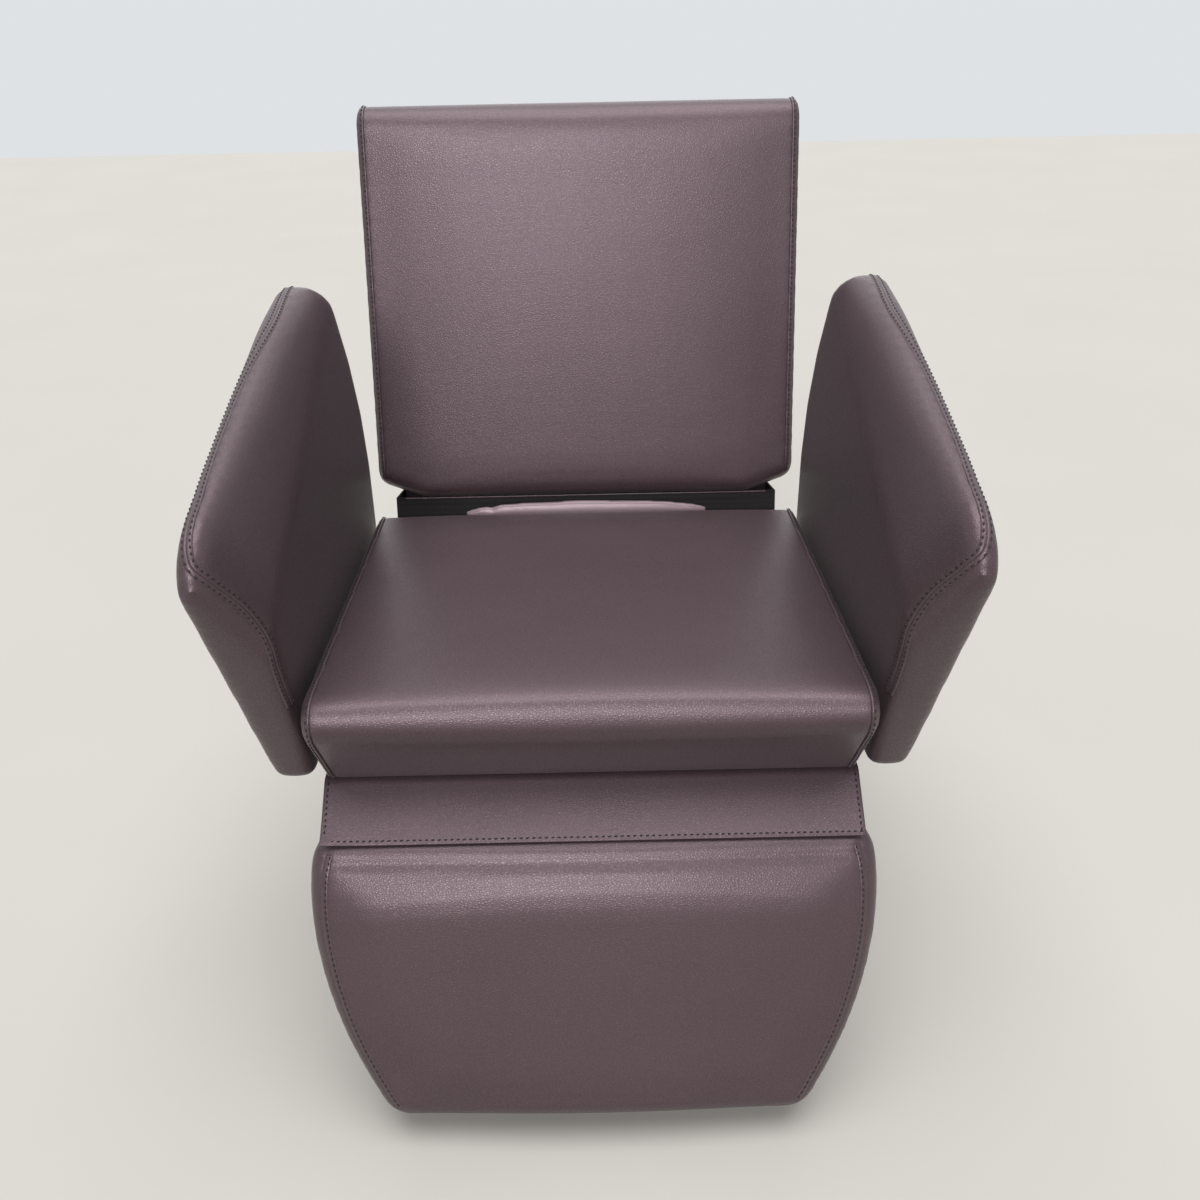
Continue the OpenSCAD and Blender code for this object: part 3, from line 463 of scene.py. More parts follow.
def even_line(points, step):
    """Points an even distance apart along a line"""
    out = [points[0].copy()]
    left = step
    for a, b in zip(points, points[1:]):
        length = (b - a).length
        done = 0.0
        while length - done >= left:
            done += left
            out.append(a.lerp(b, done / length))
            left = step
        left -= length - done
    return out


def ease(points, rounds):
    for _ in range(rounds):
        points = (
            [points[0]]
            + [(a + 2 * b + c) / 4 for a, b, c in zip(points, points[1:], points[2:])]
            + [points[-1]]
        )
    return points


def through(corners, per_span=14):
    """A smooth line through a few places"""
    ends = [2 * corners[0] - corners[1]] + corners + [2 * corners[-1] - corners[-2]]
    out = []
    for a, b, c, d in zip(ends, ends[1:], ends[2:], ends[3:]):
        for k in range(per_span):
            t = k / per_span
            out.append(
                0.5 * (2 * b + (c - a) * t + (2 * a - 5 * b + 4 * c - d) * t * t + (3 * b - a - 3 * c + d) * t**3)
            )
    return out + [corners[-1]]


def seam_line(obj, points, step=2 * MM, rounds=6):
    """Lays a line of points on a cover and returns (place, along, outward) at even steps"""
    nearest = cover_lookup(obj)
    line = even_line(ease([nearest(p)[0] for p in even_line(points, step)], rounds), step)
    outward = ease([nearest(p)[1] for p in line], 10)
    result = []
    for i, place in enumerate(line):
        along = (line[min(i + 1, len(line) - 1)] - line[max(i - 1, 0)]).normalized()
        out = (outward[i] - along * outward[i].dot(along)).normalized()
        result.append((place, along, out))
    return result


def cut_line(obj, place, facing, keep):
    """The line where a flat cut meets a cover, from its rear end to its front end, where keep is true"""
    bm = bmesh.new()
    bm.from_mesh(obj.data)
    cut = bmesh.ops.bisect_plane(bm, geom=bm.verts[:] + bm.edges[:] + bm.faces[:], plane_co=place, plane_no=facing)
    edges = {e for e in cut["geom_cut"] if isinstance(e, bmesh.types.BMEdge)}
    first = next(iter(sorted(edges, key=lambda e: e.index))).verts[0]
    ring, seen, here = [first.co.copy()], {first}, first
    while True:
        onward = [e.other_vert(here) for e in here.link_edges if e in edges and e.other_vert(here) not in seen]
        if not onward:
            break
        here = onward[0]
        seen.add(here)
        ring.append(here.co.copy())
    bm.free()
    flags = [keep(p) for p in ring]
    begin = next(i for i in range(len(ring)) if flags[i] and not flags[i - 1])
    ring = ring[begin:] + ring[:begin]
    line = []
    for p in ring:
        if not keep(p):
            break
        line.append(p)
    return line if line[0].y > line[-1].y else line[::-1]


def sewn_band(name, line, profile, inward):
    """A narrow band sewn along a seam. profile holds (across, out) places, and inward points across the
    panel from the seam"""
    verts, faces = [], []
    n = len(profile)
    for place, along, out in line:
        across = along.cross(out)
        if across.dot(inward(place)) < 0:
            across = -across
        verts += [place + across * a + out * h for a, h in profile]
    for i in range(len(line) - 1):
        for j in range(n):
            a, b = i * n + j, i * n + (j + 1) % n
            faces.append((a, b, b + n, a + n))
    faces.append(tuple(range(n)))
    faces.append(tuple(reversed(range(len(verts) - n, len(verts)))))
    obj = new_mesh(name, verts, faces)
    choose(obj)
    bpy.ops.object.mode_set(mode="EDIT")
    bpy.ops.mesh.select_all(action="SELECT")
    bpy.ops.mesh.normals_make_consistent(inside=False)
    bpy.ops.object.mode_set(mode="OBJECT")
    smooth(obj, 60)
    return obj


def one_stitch(length, radius):
    """A single stitch: a short round thread that dips into its needle holes at both ends"""
    bpy.ops.mesh.primitive_uv_sphere_add(segments=6, ring_count=5, radius=radius, rotation=(0, math.pi / 2, 0))
    stitch = bpy.context.object
    settle(stitch)
    choose(stitch)
    bpy.ops.object.mode_set(mode="EDIT")
    bpy.ops.mesh.select_all(action="SELECT")
    bpy.ops.transform.resize(value=(length / (2 * radius), 1, 1))
    bpy.ops.object.mode_set(mode="OBJECT")
    shape = [v.co.copy() for v in stitch.data.vertices]
    faces = [tuple(p.vertices) for p in stitch.data.polygons]
    bpy.data.objects.remove(stitch)
    return [Vector((p.x, p.y, p.z - 0.35 * radius * (2 * p.x / length) ** 2)) for p in shape], faces


class Staples:
    """Crowns of upholstery staples, 10 mm wide and about 32 mm apart"""

    stitch_length = 10 * MM
    stitch_pitch = 32 * MM
    thread_thickness = 1.3 * MM


def stitch_row(name, lines, shift, lift, inward, settings, slant=0.12):
    """Lockstitches at an even pitch beside one or more seam lines"""
    shape, shape_faces = one_stitch(settings.stitch_length, settings.thread_thickness / 2)
    verts, faces = [], []
    every = max(1, round(settings.stitch_pitch / (lines[0][1][0] - lines[0][0][0]).length))
    for line in lines:
        for place, along, out in line[every // 2 :: every]:
            across = along.cross(out)
            if across.dot(inward(place)) < 0:
                across = -across
            centre = place + across * shift + out * lift
            ahead = (along + across * slant).normalized()
            beside = out.cross(ahead)
            base = len(verts)
            verts += [centre + ahead * p.x + beside * p.y + out * p.z for p in shape]
            faces += [tuple(base + i for i in f) for f in shape_faces]
    obj = new_mesh(name, verts, faces)
    smooth(obj, 180)
    return obj


def pull_in(obj, lines, depth, width, pucker):
    """Draws the cover down along its seams, with small puckers beside them"""
    points = [(p, i) for line in lines for i, (p, _, _) in enumerate(line)]
    tree = KDTree(len(points))
    for k, (p, i) in enumerate(points):
        tree.insert(p, k)
    tree.balance()
    mesh = obj.data
    normals = [v.normal.copy() for v in mesh.vertices]
    for v, normal in zip(mesh.vertices, normals):
        _, k, away = tree.find(v.co)
        if away > 6 * width:
            continue
        wave = noise.noise(Vector((points[k][1] * 0.42, away * 90, 3.7)))
        v.co += normal * (
            -depth * math.exp(-((away / width) ** 2)) + pucker * wave * math.exp(-away / (2.2 * width))
        )


class ChairSettings(bpy.types.PropertyGroup):
    stitch_length: bpy.props.FloatProperty(
        name="Stitch length", description="Length of thread that shows", default=3.6 * MM, unit="LENGTH"
    )
    stitch_pitch: bpy.props.FloatProperty(
        name="Stitch pitch", description="From one needle hole to the next", default=5.4 * MM, unit="LENGTH"
    )
    thread_thickness: bpy.props.FloatProperty(
        name="Thread", description="Thickness of the sewing thread", default=1.8 * MM, unit="LENGTH"
    )
    foam_mesh: bpy.props.FloatProperty(
        name="Foam mesh", description="Face size of a pad while it swells", default=5 * MM, unit="LENGTH"
    )
    foam_rise: bpy.props.FloatProperty(
        name="Foam rise", description="Most that a pad's cover swells", default=4.5 * MM, unit="LENGTH"
    )
    grain: bpy.props.FloatProperty(
        name="Grain", description="Width of a pebble of the vinyl's grain", default=2.0 * MM, unit="LENGTH"
    )
    seam_inset: bpy.props.FloatProperty(
        name="Seam inset", description="From a pad's side to its seam", default=6 * MM, unit="LENGTH"
    )


BAND = [(-0.6, -1.2), (-0.5, 0.1), (0.2, 0.65), (1.4, 0.8), (4.4, 0.55), (5.6, 0.25), (6.4, -0.3), (6.6, -1.2)]
WELT = [
    (-5.2, -1.0), (-4.6, 0.1), (-3.4, 0.55), (-1.7, 0.95), (-0.5, 0.9), (0.0, 0.35), (0.5, 0.9), (1.7, 0.95),
    (3.4, 0.55), (4.6, 0.1), (5.2, -1.0),
]


def in_mm(profile):
    return [(a * MM, b * MM) for a, b in profile]


def side_seams(pad, name, body, turn, half, settings, keep):
    """A seam down each side of a pad, with one row of topstitching on a turned edge"""
    lines = []
    for side in (-1, 1):
        cut = cut_line(pad, turn @ Vector((side * half, 0, 0)), Vector((1, 0, 0)), keep)
        lines.append(seam_line(pad, cut))
    pull_in(pad, lines, 1.2 * MM, 3 * MM, 0.35 * MM)
    middle = lambda place: Vector((-place.x, 0, 0))
    bands = [sewn_band(f"{name}_edge_{w}", line, in_mm(BAND), middle) for w, line in zip(("left", "right"), lines)]
    stitches = stitch_row(f"{name}_stitches", lines, 4.2 * MM, 0.9 * MM, middle, settings)
    for band in bands:
        dress(band, "padded_pu_vinyl", body)
    dress(stitches, "bonded_thread", body)
    return lines


class CHAIR_OT_finishes(bpy.types.Operator):
    """Make the finishes and put them on the steel, boards, rubber and fasteners"""

    bl_idname = "chair.finishes"
    bl_label = "Finishes"

    def execute(self, context):
        chair = context.scene.chair
        make_vinyl("padded_pu_vinyl", "#312528", "#524347", chair.grain, 0.085 * MM, 0.31)
        make_vinyl("glued_pu_vinyl", "#2e2326", "#4e4044", chair.grain, 0.085 * MM, 0.35)
        # Pulled tight over the roll behind the seat, which flattens the grain and makes it shine; its colour is
        # painted much lighter than the other vinyl, as a painted highlight
        make_vinyl("stretched_pu_vinyl", "#6d5d61", "#8b7a7f", chair.grain, 0.02 * MM, 0.26)
        make_thread("bonded_thread", "#0f0909", "#1e1415")
        make_powder_coat("black_powder_coat", "#1e1d1f", "#2e2d2f", 0.42)
        make_powder_coat("folded_sheet_coat", "#29282a", "#38373a", 0.36)
        make_zinc("zinc_screws", "#8e9193", "#b9bcbf")
        make_zinc("zinc_pressings", "#7d8083", "#a8abae")
        make_moulded("rubber_edge", "#141415", "#232324", 0.72, 12 * MM)
        make_moulded("nylon_natural", "#c9c5b8", "#dedbd1", 0.42, 8 * MM)
        # Near-black as painted shade: the hinge cover lies in shadow under the backrest
        make_dust_cloth("black_dust_cloth", "#151213", "#1f1b1c")
        make_plywood("plywood_level", (0, 0, 0))
        make_plywood("plywood_side", (0, math.pi / 2, 0))
        make_plywood("plywood_leg", (math.radians(90 + LEG_TILT), 0, 0))
        by_slot = {
            "painted_steel": "black_powder_coat",
            "cover_sheet": "folded_sheet_coat",
            "rubber_trim": "rubber_edge",
            "zinc_fasteners": "zinc_screws",
            "zinc_mechanism": "zinc_pressings",
            "nylon": "nylon_natural",
            "vinyl_leather": "padded_pu_vinyl",
            "vinyl_back": "glued_pu_vinyl",
            "plywood": "plywood_level",
        }
        boards = {
            "arm_board_left": "plywood_side",
            "arm_board_right": "plywood_side",
            "leg_board": "plywood_leg",
        }
        for part in frame["record"]["subparts"]:
            node = frame["nodes"][part["node"]]
            material = boards.get(part["node"]) or by_slot[part["material_slot"]]
            node.data.materials.clear()
            node.data.materials.append(bpy.data.materials[material])
        return {"FINISHED"}


class CHAIR_OT_seat(bpy.types.Operator):
    """Upholster the seat: a crowned pad with a rolled front and a boxed, topstitched edge at each side"""

    bl_idname = "chair.seat"
    bl_label = "Seat"

    def execute(self, context):
        chair = context.scene.chair
        low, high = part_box("seat_cushion")
        pad = foam_body("seat_cushion", "seat_pad", chair.foam_mesh, 6)
        half = high.x - chair.seam_inset
        swell(
            pad,
            4.0,
            chair.foam_rise,
            lambda p: abs(p.x) > half - 2 * MM or p.z < low.z + 6 * MM or p.y > high.y - 8 * MM,
        )
        apply_modifier(pad, "SUBSURF", levels=1, render_levels=1)
        side_seams(
            pad,
            "seat",
            "base",
            Matrix.Identity(4),
            half,
            chair,
            lambda p: p.z > low.z + 4 * MM and p.y < high.y - 10 * MM,
        )
        smooth(pad, 180)
        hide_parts("seat_cushion")
        dress(pad, "padded_pu_vinyl", "base")
        return {"FINISHED"}


class CHAIR_OT_backrest(bpy.types.Operator):
    """Upholster the backrest: a flat crowned pad with its crest rolled over and a boxed edge at each side"""

    bl_idname = "chair.backrest"
    bl_label = "Backrest"

    def execute(self, context):
        chair = context.scene.chair
        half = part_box("back_cushion")[1].x - chair.seam_inset
        pad = foam_body("back_cushion", "back_pad", chair.foam_mesh, 6)
        rear = BACK.inverted()
        deep = max((rear @ v.co).y for v in pad.data.vertices)
        foot = min((rear @ v.co).z for v in pad.data.vertices)
        swell(
            pad,
            4.0,
            chair.foam_rise,
            lambda p: abs(p.x) > half - 2 * MM or (rear @ p).y > deep - 8 * MM,
        )
        apply_modifier(pad, "SUBSURF", levels=1, render_levels=1)
        side_seams(
            pad,
            "backrest",
            "backrest",
            BACK,
            half,
            chair,
            lambda p: (rear @ p).y < deep - 9 * MM and (rear @ p).z > foot + 26 * MM,
        )
        smooth(pad, 180)
        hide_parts("back_cushion")
        dress(pad, "padded_pu_vinyl", "backrest")
        return {"FINISHED"}


class CHAIR_OT_leg_rest(bpy.types.Operator):
    """Upholster the leg rest: a rolled top, curved sides with a topstitched edge, and a crowned face"""

    bl_idname = "chair.leg_rest"
    bl_label = "Leg rest"

    def execute(self, context):
        chair = context.scene.chair
        pad = foam_body("leg_cushion", "leg_pad", chair.foam_mesh, 3)
        to_leg = LEG.inverted()
        front = min((to_leg @ v.co).y for v in pad.data.vertices)
        swell(pad, 4.0, chair.foam_rise, lambda p: (to_leg @ p).y > front + 24 * MM)
        # The foam's top is cut to a long roll, which turns slowly into the flat face
        for v in pad.data.vertices:
            place = to_leg @ v.co
            if place.y < -20 * MM and place.z > -112 * MM:
                below = min(1.0, (place.z + 116 * MM) / (56 * MM))
                above = max(0.0, 1.0 - max(0.0, place.z + 60 * MM) / (15 * MM))
                place.y += 5.0 * MM * below**2 * above * min(1.0, (-20 * MM - place.y) / (20 * MM))
                v.co = LEG @ place
        apply_modifier(pad, "SUBSURF", levels=1, render_levels=1)
        middle = lambda place: Vector((-place.x, 0, 0))
        lines = []
        for side in (-1, 1):
            edge = []
            for k in range(40):
                z = -42 * MM - k / 39 * 276 * MM
                row = [to_leg @ v.co for v in pad.data.vertices]
                near = [p for p in row if abs(p.z - z) < 4 * MM and p.x * side > 0]
                wide = max(p.x * side for p in near)
                edge.append(LEG @ Vector((side * (wide - 9 * MM), front, z)))
            lines.append(seam_line(pad, ease(edge, 6)))
        pull_in(pad, lines, 1.0 * MM, 3 * MM, 0.35 * MM)
        for word, line in zip(("left", "right"), lines):
            band = sewn_band(f"leg_rest_edge_{word}", line, in_mm(BAND), middle)
            dress(band, "padded_pu_vinyl", "leg_rest")
        row = stitch_row("leg_rest_stitches", lines, 4.2 * MM, 0.9 * MM, middle, chair)
        dress(row, "bonded_thread", "leg_rest")
        smooth(pad, 180)
        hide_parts("leg_cushion")
        dress(pad, "padded_pu_vinyl", "leg_rest")
        return {"FINISHED"}


# The arm's seam, in millimetres, for the arm on the +X side: up the rear edge, along the outer edge of the
# top, round the nose and down the inner front edge to the seat
ARM_SEAM = [
    (300, 238, 400), (306, 236, 500), (309, 218, 610), (307, 180, 700), (304, 130, 752), (303, 80, 755),
    (302, 19, 738), (315, -80, 706), (319, -172, 679), (318, -246, 661), (317, -283, 645), (311, -297, 629),
    (297, -292, 610), (280, -279, 582), (269, -272, 552), (265, -268, 522), (262, -258, 490), (262, -244, 462),
]


class CHAIR_OT_arms(bpy.types.Operator):
    """Upholster both arms: a top panel and an outer panel, joined by a twin-stitched seam"""

    bl_idname = "chair.arms"
    bl_label = "Arms"

    def execute(self, context):
        chair = context.scene.chair
        for word, side in (("left", -1), ("right", 1)):
            node = f"arm_pad_{word}"
            low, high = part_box(node)
            inner = min(abs(low.x), abs(high.x))
            pad = foam_body(node, f"arm_cover_{word}", chair.foam_mesh, 12, whole=True)
            corners = [Vector((side * x * MM, y * MM, z * MM)) for x, y, z in ARM_SEAM]
            nearest = cover_lookup(pad)
            sewn_tree = KDTree(200)
            rough = even_line([nearest(p)[0] for p in through(corners)], 8 * MM)
            for k, p in enumerate(rough):
                sewn_tree.insert(p, k)
            sewn_tree.balance()
            swell(
                pad,
                4.0,
                chair.foam_rise,
                lambda p: p.z < low.z + 8 * MM or abs(p.x) < inner + 3 * MM or sewn_tree.find(p)[2] < 7 * MM,
            )
            apply_modifier(pad, "SUBSURF", levels=1, render_levels=1)
            line = seam_line(pad, through(corners), rounds=8)
            pull_in(pad, [line], 0.5 * MM, 6 * MM, 0.3 * MM)
            inward = lambda place: Vector((-place.x, 0, 0.2))
            welt = sewn_band(f"arm_seam_{word}", line, in_mm(WELT), inward)
            dress(welt, "padded_pu_vinyl", "base")
            rows = [
                stitch_row(f"arm_stitches_{word}_{k}", [line], s * 3.5 * MM, 0.7 * MM, inward, chair)
                for k, s in (("outer", -1), ("inner", 1))
            ]
            for row in rows:
                dress(row, "bonded_thread", "base")
            smooth(pad, 180)
            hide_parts(node)
            dress(pad, "padded_pu_vinyl", "base")
        return {"FINISHED"}


class CHAIR_OT_flap(bpy.types.Operator):
    """Lay the hemmed flap from under the seat on to the leg rest"""

    bl_idname = "chair.flap"
    bl_label = "Flap"

    def execute(self, context):
        chair = context.scene.chair
        wide, tuck, fall = 520 * MM, 13 * MM, 66 * MM
        long = tuck + fall
        slope = math.radians(37)
        top = AXES["leg_rest_lift"] + Vector((0, -2 * MM, 12.8 * MM))
        bpy.ops.mesh.primitive_grid_add(x_subdivisions=130, y_subdivisions=20, size=1)
        flap = bpy.context.object
        flap.name = "flap_cloth"
        flap.scale = (wide, long, 1)
        settle(flap)
        down = Vector((0, -math.cos(slope), -math.sin(slope)))
        out = Vector((0, -math.sin(slope), math.cos(slope)))
        for v in flap.data.vertices:
            run = long / 2 - v.co.y - tuck
            if run < 0:
                # The part tucked up under the seat
                v.co = top + Vector((v.co.x, -run, 1.2 * MM - 0.02 * run))
                continue
            ripple = 0.5 * MM * noise.noise(Vector((v.co.x * 9, run * 12, 1.3)))
            edge = max(0.0, run / fall - 0.55) / 0.45
            curl = 1.1 * MM * edge**2 * noise.noise(Vector((v.co.x * 7, 0.0, 5.1)))
            corner = 3.2 * MM * edge**2 * max(0.0, (-v.co.x - 0.205) / 0.055) ** 2
            v.co = top + Vector((v.co.x, 0, 0)) + down * run + out * (1.4 * MM + ripple + curl + corner)
        choose(flap)
        bpy.ops.object.mode_set(mode="EDIT")
        bpy.ops.mesh.select_all(action="SELECT")
        bpy.ops.mesh.normals_make_consistent(inside=False)
        bpy.ops.object.mode_set(mode="OBJECT")
        apply_modifier(flap, "SOLIDIFY", thickness=1.8 * MM, offset=0.0)
        apply_modifier(flap, "BEVEL", width=0.6 * MM, segments=2, limit_method="ANGLE")
        smooth(flap, 60)
        inset = 4 * MM
        corners = [
            (-wide / 2 + inset, 3 * MM), (-wide / 2 + inset, fall - inset), (wide / 2 - inset, fall - inset),
            (wide / 2 - inset, 3 * MM),
        ]
        lines = []
        for a, b in zip(corners, corners[1:]):
            run = [Vector(a).lerp(Vector(b), k / 60) for k in range(61)]
            run = [top + Vector((p.x, 0, 0)) + down * p.y + out * 3 * MM for p in run]
            lines.append(seam_line(flap, run, rounds=1))
        hem = stitch_row("flap_stitches", lines, 0.0, 0.15 * MM, lambda place: Vector((0, 0, 1)), chair)
        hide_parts("flap")
        dress(flap, "padded_pu_vinyl", None)
        dress(hem, "bonded_thread", None)
        # The flap and its hem are baked in place and ride on no body
        for piece in (flap, hem):
            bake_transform(piece)
        return {"FINISHED"}


class CHAIR_OT_gap_roll(bpy.types.Operator):
    """Make the soft roll that closes the gap behind the seat"""

    bl_idname = "chair.gap_roll"
    bl_label = "Gap roll"

    def execute(self, context):
        roll = foam_body("gap_cover", "gap_roll", 2 * MM, 8)
        for v in roll.data.vertices:
            crease = math.exp(-(((v.co.x + 0.118) / (5 * MM)) ** 2))
            v.co.z -= 3.0 * MM * crease * max(0.0, (v.co.z - 0.43) / 0.02)
            v.co.z += 0.8 * MM * noise.noise(Vector((v.co.x * 22, 0.4, 0.9)))
        apply_modifier(roll, "SMOOTH", factor=0.5, iterations=3)
        smooth(roll, 180)
        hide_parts("gap_cover")
        # The roll's much lighter vinyl is a painted highlight
        dress(roll, "stretched_pu_vinyl", "base")
        return {"FINISHED"}


def rounded_shell(node, name, radius=None):
    """A copy of a board piece of the frame, with its edges rounded as a glued cover rounds them when a radius is
    given
    """
    obj = bpy.data.objects.new(name, frame["nodes"][node].data.copy())
    bpy.context.collection.objects.link(obj)
    choose(obj)
    bpy.ops.object.mode_set(mode="EDIT")
    bpy.ops.mesh.select_all(action="SELECT")
    bpy.ops.mesh.remove_doubles(threshold=0.02 * MM)
    bpy.ops.mesh.dissolve_limited(angle_limit=math.radians(1))
    bpy.ops.mesh.normals_make_consistent(inside=False)
    bpy.ops.object.mode_set(mode="OBJECT")
    if radius:
        apply_modifier(obj, "BEVEL", width=radius, segments=3, limit_method="ANGLE", angle_limit=math.radians(30))
    smooth(obj, 45)
    return obj


def cord_along(name, path, radius, turn, closed=False):
    """A covered cord along a line of places"""
    curve = bpy.data.curves.new(name, "CURVE")
    curve.dimensions = "3D"
    curve.bevel_depth = radius
    curve.bevel_resolution = 3
    curve.use_fill_caps = True
    spline = curve.splines.new("POLY")
    spline.points.add(len(path) - 1)
    for point, place in zip(spline.points, path):
        point.co = (*place, 1)
    spline.use_cyclic_u = closed
    cord = bpy.data.objects.new(name, curve)
    bpy.context.collection.objects.link(cord)
    choose(cord)
    bpy.ops.object.convert(target="MESH")
    settle(cord, turn)
    smooth(cord, 180)
    return cord


class CHAIR_OT_boards(bpy.types.Operator):
    """Wrap the edges of the boards, turn the cover over on to the bare side and staple it down"""

    bl_idname = "chair.boards"
    bl_label = "Boards"

    def execute(self, context):
        back = rounded_shell("back_board", "back_board_cover", 1.0 * MM)
        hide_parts("back_board")
        dress(back, "glued_pu_vinyl", "backrest")
        level = Matrix.Rotation(math.pi / 2, 4, "X")
        self.wrap("seat_board", "base", level, "plywood_level")
        self.wrap("leg_board", "leg_rest", LEG, "plywood_leg")
        return {"FINISHED"}

    @staticmethod
    def wrap(node, body, turn, wood):
        """turn brings the board's bare side to face +Y"""
        board = rounded_shell(node, f"{node}_wrapped")
        dress(board, "glued_pu_vinyl", body)
        board.data.materials.append(bpy.data.materials[wood])
        flat = turn.inverted().to_3x3()
        bare = max((turn.inverted() @ v.co).y for v in board.data.vertices)
        for face in board.data.polygons:
            if (flat @ face.normal).y > 0.9:
                face.material_index = 1
        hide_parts(node)

        places = [turn.inverted() @ v.co for v in board.data.vertices]
        rim = [Vector((p.x, p.z)) for p in places if p.y > bare - 0.1 * MM]
        rim = [rim[i] for i in convex_hull_2d(rim)]
        fold = new_mesh(f"{node}_turnover", [(p.x, bare, p.y) for p in rim], [tuple(range(len(rim)))])
        choose(fold)
        bpy.ops.object.mode_set(mode="EDIT")
        bpy.ops.mesh.select_all(action="SELECT")
        bpy.ops.mesh.inset(thickness=17 * MM)
        middle = bmesh.from_edit_mesh(fold.data)
        ring = [v.co.copy() for f in middle.faces if f.select for v in f.verts]
        bpy.ops.mesh.inset(thickness=9 * MM)
        bpy.ops.mesh.delete(type="FACE")
        bpy.ops.mesh.select_all(action="SELECT")
        bpy.ops.mesh.normals_make_consistent(inside=False)
        bpy.ops.object.mode_set(mode="OBJECT")
        if fold.data.polygons[0].normal.y < 0:
            fold.data.flip_normals()
        apply_modifier(fold, "SOLIDIFY", thickness=0.8 * MM, offset=1.0)
        line = even_line(ring + ring[:1], 4 * MM)
        steps = [
            (a, (b - a).normalized(), Vector((0, 1, 0))) for a, b in zip(line, line[1:]) if (b - a).length > 1 * MM
        ]
        staples = stitch_row(
            f"{node}_staples", [steps], 0.0, 0.9 * MM, lambda place: Vector((1, 0, 0)), Staples, slant=0.25
        )
        for piece, material, slot in (
            (fold, "glued_pu_vinyl", "vinyl_back"),
            (staples, "zinc_screws", "zinc_fasteners"),
        ):
            settle(piece, turn)
            dress(piece, material, body)
        smooth(fold, 40)


class CHAIR_OT_rear_covers(bpy.types.Operator):
    """Cover the rear of the backrest: the wrapped shell, its padded panel with a welt, and the hinge cover"""

    bl_idname = "chair.rear_covers"
    bl_label = "Rear covers"

    def execute(self, context):
        shell = rounded_shell("back_shell", "rear_shell", 1.5 * MM)
        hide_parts("back_shell")
        dress(shell, "glued_pu_vinyl", "backrest")
        tail = rounded_shell("back_tail", "hinge_cover", 1.0 * MM)
        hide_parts("back_tail")
        # The hinge cover's near-black cloth is painted shade for the dark gap under the backrest
        dress(tail, "black_dust_cloth", "backrest")
        low = min((BACK.inverted() @ v.co).y for v in tail.data.vertices)
        high = max((BACK.inverted() @ v.co).z for v in tail.data.vertices)
        edge = [Vector((x * 12 * MM, low + 1.2 * MM, high - 1.6 * MM)) for x in range(-19, 20)]
        piping = cord_along("hinge_cover_piping", edge, 1.5 * MM, BACK)
        dress(piping, "padded_pu_vinyl", "backrest")

        wide, low, high, chamfer = 236 * MM, 94 * MM, 510 * MM, 24 * MM
        bpy.ops.mesh.primitive_grid_add(x_subdivisions=96, y_subdivisions=84, size=1)
        panel = bpy.context.object
        panel.name = "rear_panel"
        panel.scale = (2 * wide, high - low, 1)
        panel.location = (0, (low + high) / 2, 0)
        settle(panel)
        choose(panel)
        bpy.ops.object.mode_set(mode="EDIT")
        for side in (-1, 1):
            bpy.ops.mesh.select_all(action="SELECT")
            bpy.ops.mesh.bisect(
                plane_co=(side * wide, low + chamfer, 0), plane_no=(side, -1, 0), clear_outer=True, clear_inner=False
            )
        bpy.ops.mesh.select_all(action="SELECT")
        bpy.ops.mesh.normals_make_consistent(inside=False)
        bpy.ops.object.mode_set(mode="OBJECT")
        for v in panel.data.vertices:
            x, z = v.co.x, v.co.y
            cut = (z - low - (abs(x) - wide + chamfer)) / math.sqrt(2)
            edge = max(0.0, min(wide - abs(x), z - low, high - z, cut))
            rise = 5.5 * MM * (1 - math.exp(-edge / (9 * MM))) + 0.5 * MM * noise.noise(Vector((x * 8, z * 8, 2.2)))
            v.co = Vector((x, SHELL_REAR + 0.3 * MM + rise, z))
        choose(panel)
        apply_modifier(panel, "SOLIDIFY", thickness=1.2 * MM, offset=-1.0)
        choose(panel)
        bpy.ops.object.mode_set(mode="EDIT")
        bpy.ops.mesh.select_all(action="SELECT")
        bpy.ops.mesh.normals_make_consistent(inside=False)
        bpy.ops.object.mode_set(mode="OBJECT")
        settle(panel, BACK)
        smooth(panel, 60)
        dress(panel, "padded_pu_vinyl", "backrest")

        outline = [
            (-wide + chamfer, low), (wide - chamfer, low), (wide, low + chamfer), (wide, high), (-wide, high),
            (-wide, low + chamfer),
        ]
        path = []
        for i, (x, z) in enumerate(outline):
            here = Vector((x, z))
            before = Vector(outline[i - 1])
            after = Vector(outline[(i + 1) % len(outline)])
            a = here + (before - here).normalized() * 7 * MM
            b = here + (after - here).normalized() * 7 * MM
            for k in range(7):
                t = k / 6
                path.append(a * (1 - t) ** 2 + here * 2 * t * (1 - t) + b * t * t)
        path = [Vector((place.x, SHELL_REAR + 1.9 * MM, place.y)) for place in path]
        welt = cord_along("rear_welt", path, 2.2 * MM, BACK, closed=True)
        dress(welt, "padded_pu_vinyl", "backrest")
        return {"FINISHED"}


def tube_plug(name, size, height):
    """A ribbed square plug with a domed cap for the open end of a tube, its cap facing +Z"""
    bpy.ops.mesh.primitive_cube_add(size=1, location=(0, 0, height / 2))
    plug = bpy.context.object
    plug.name = name
    plug.scale = (size, size, height)
    settle(plug)
    choose(plug)
    bpy.ops.object.mode_set(mode="EDIT")
    bpy.ops.mesh.select_all(action="SELECT")
    bpy.ops.mesh.bevel(offset=1.2 * MM, segments=3)
    select_where(lambda f: f.normal.z > 0.99)
    bpy.ops.mesh.inset(thickness=3.5 * MM)
    bpy.ops.transform.translate(value=(0, 0, -0.7 * MM))
    bpy.ops.mesh.inset(thickness=1.0 * MM)
    bpy.ops.transform.translate(value=(0, 0, 0.4 * MM))
    bpy.ops.object.mode_set(mode="OBJECT")
    smooth(plug, 40)
    return plug


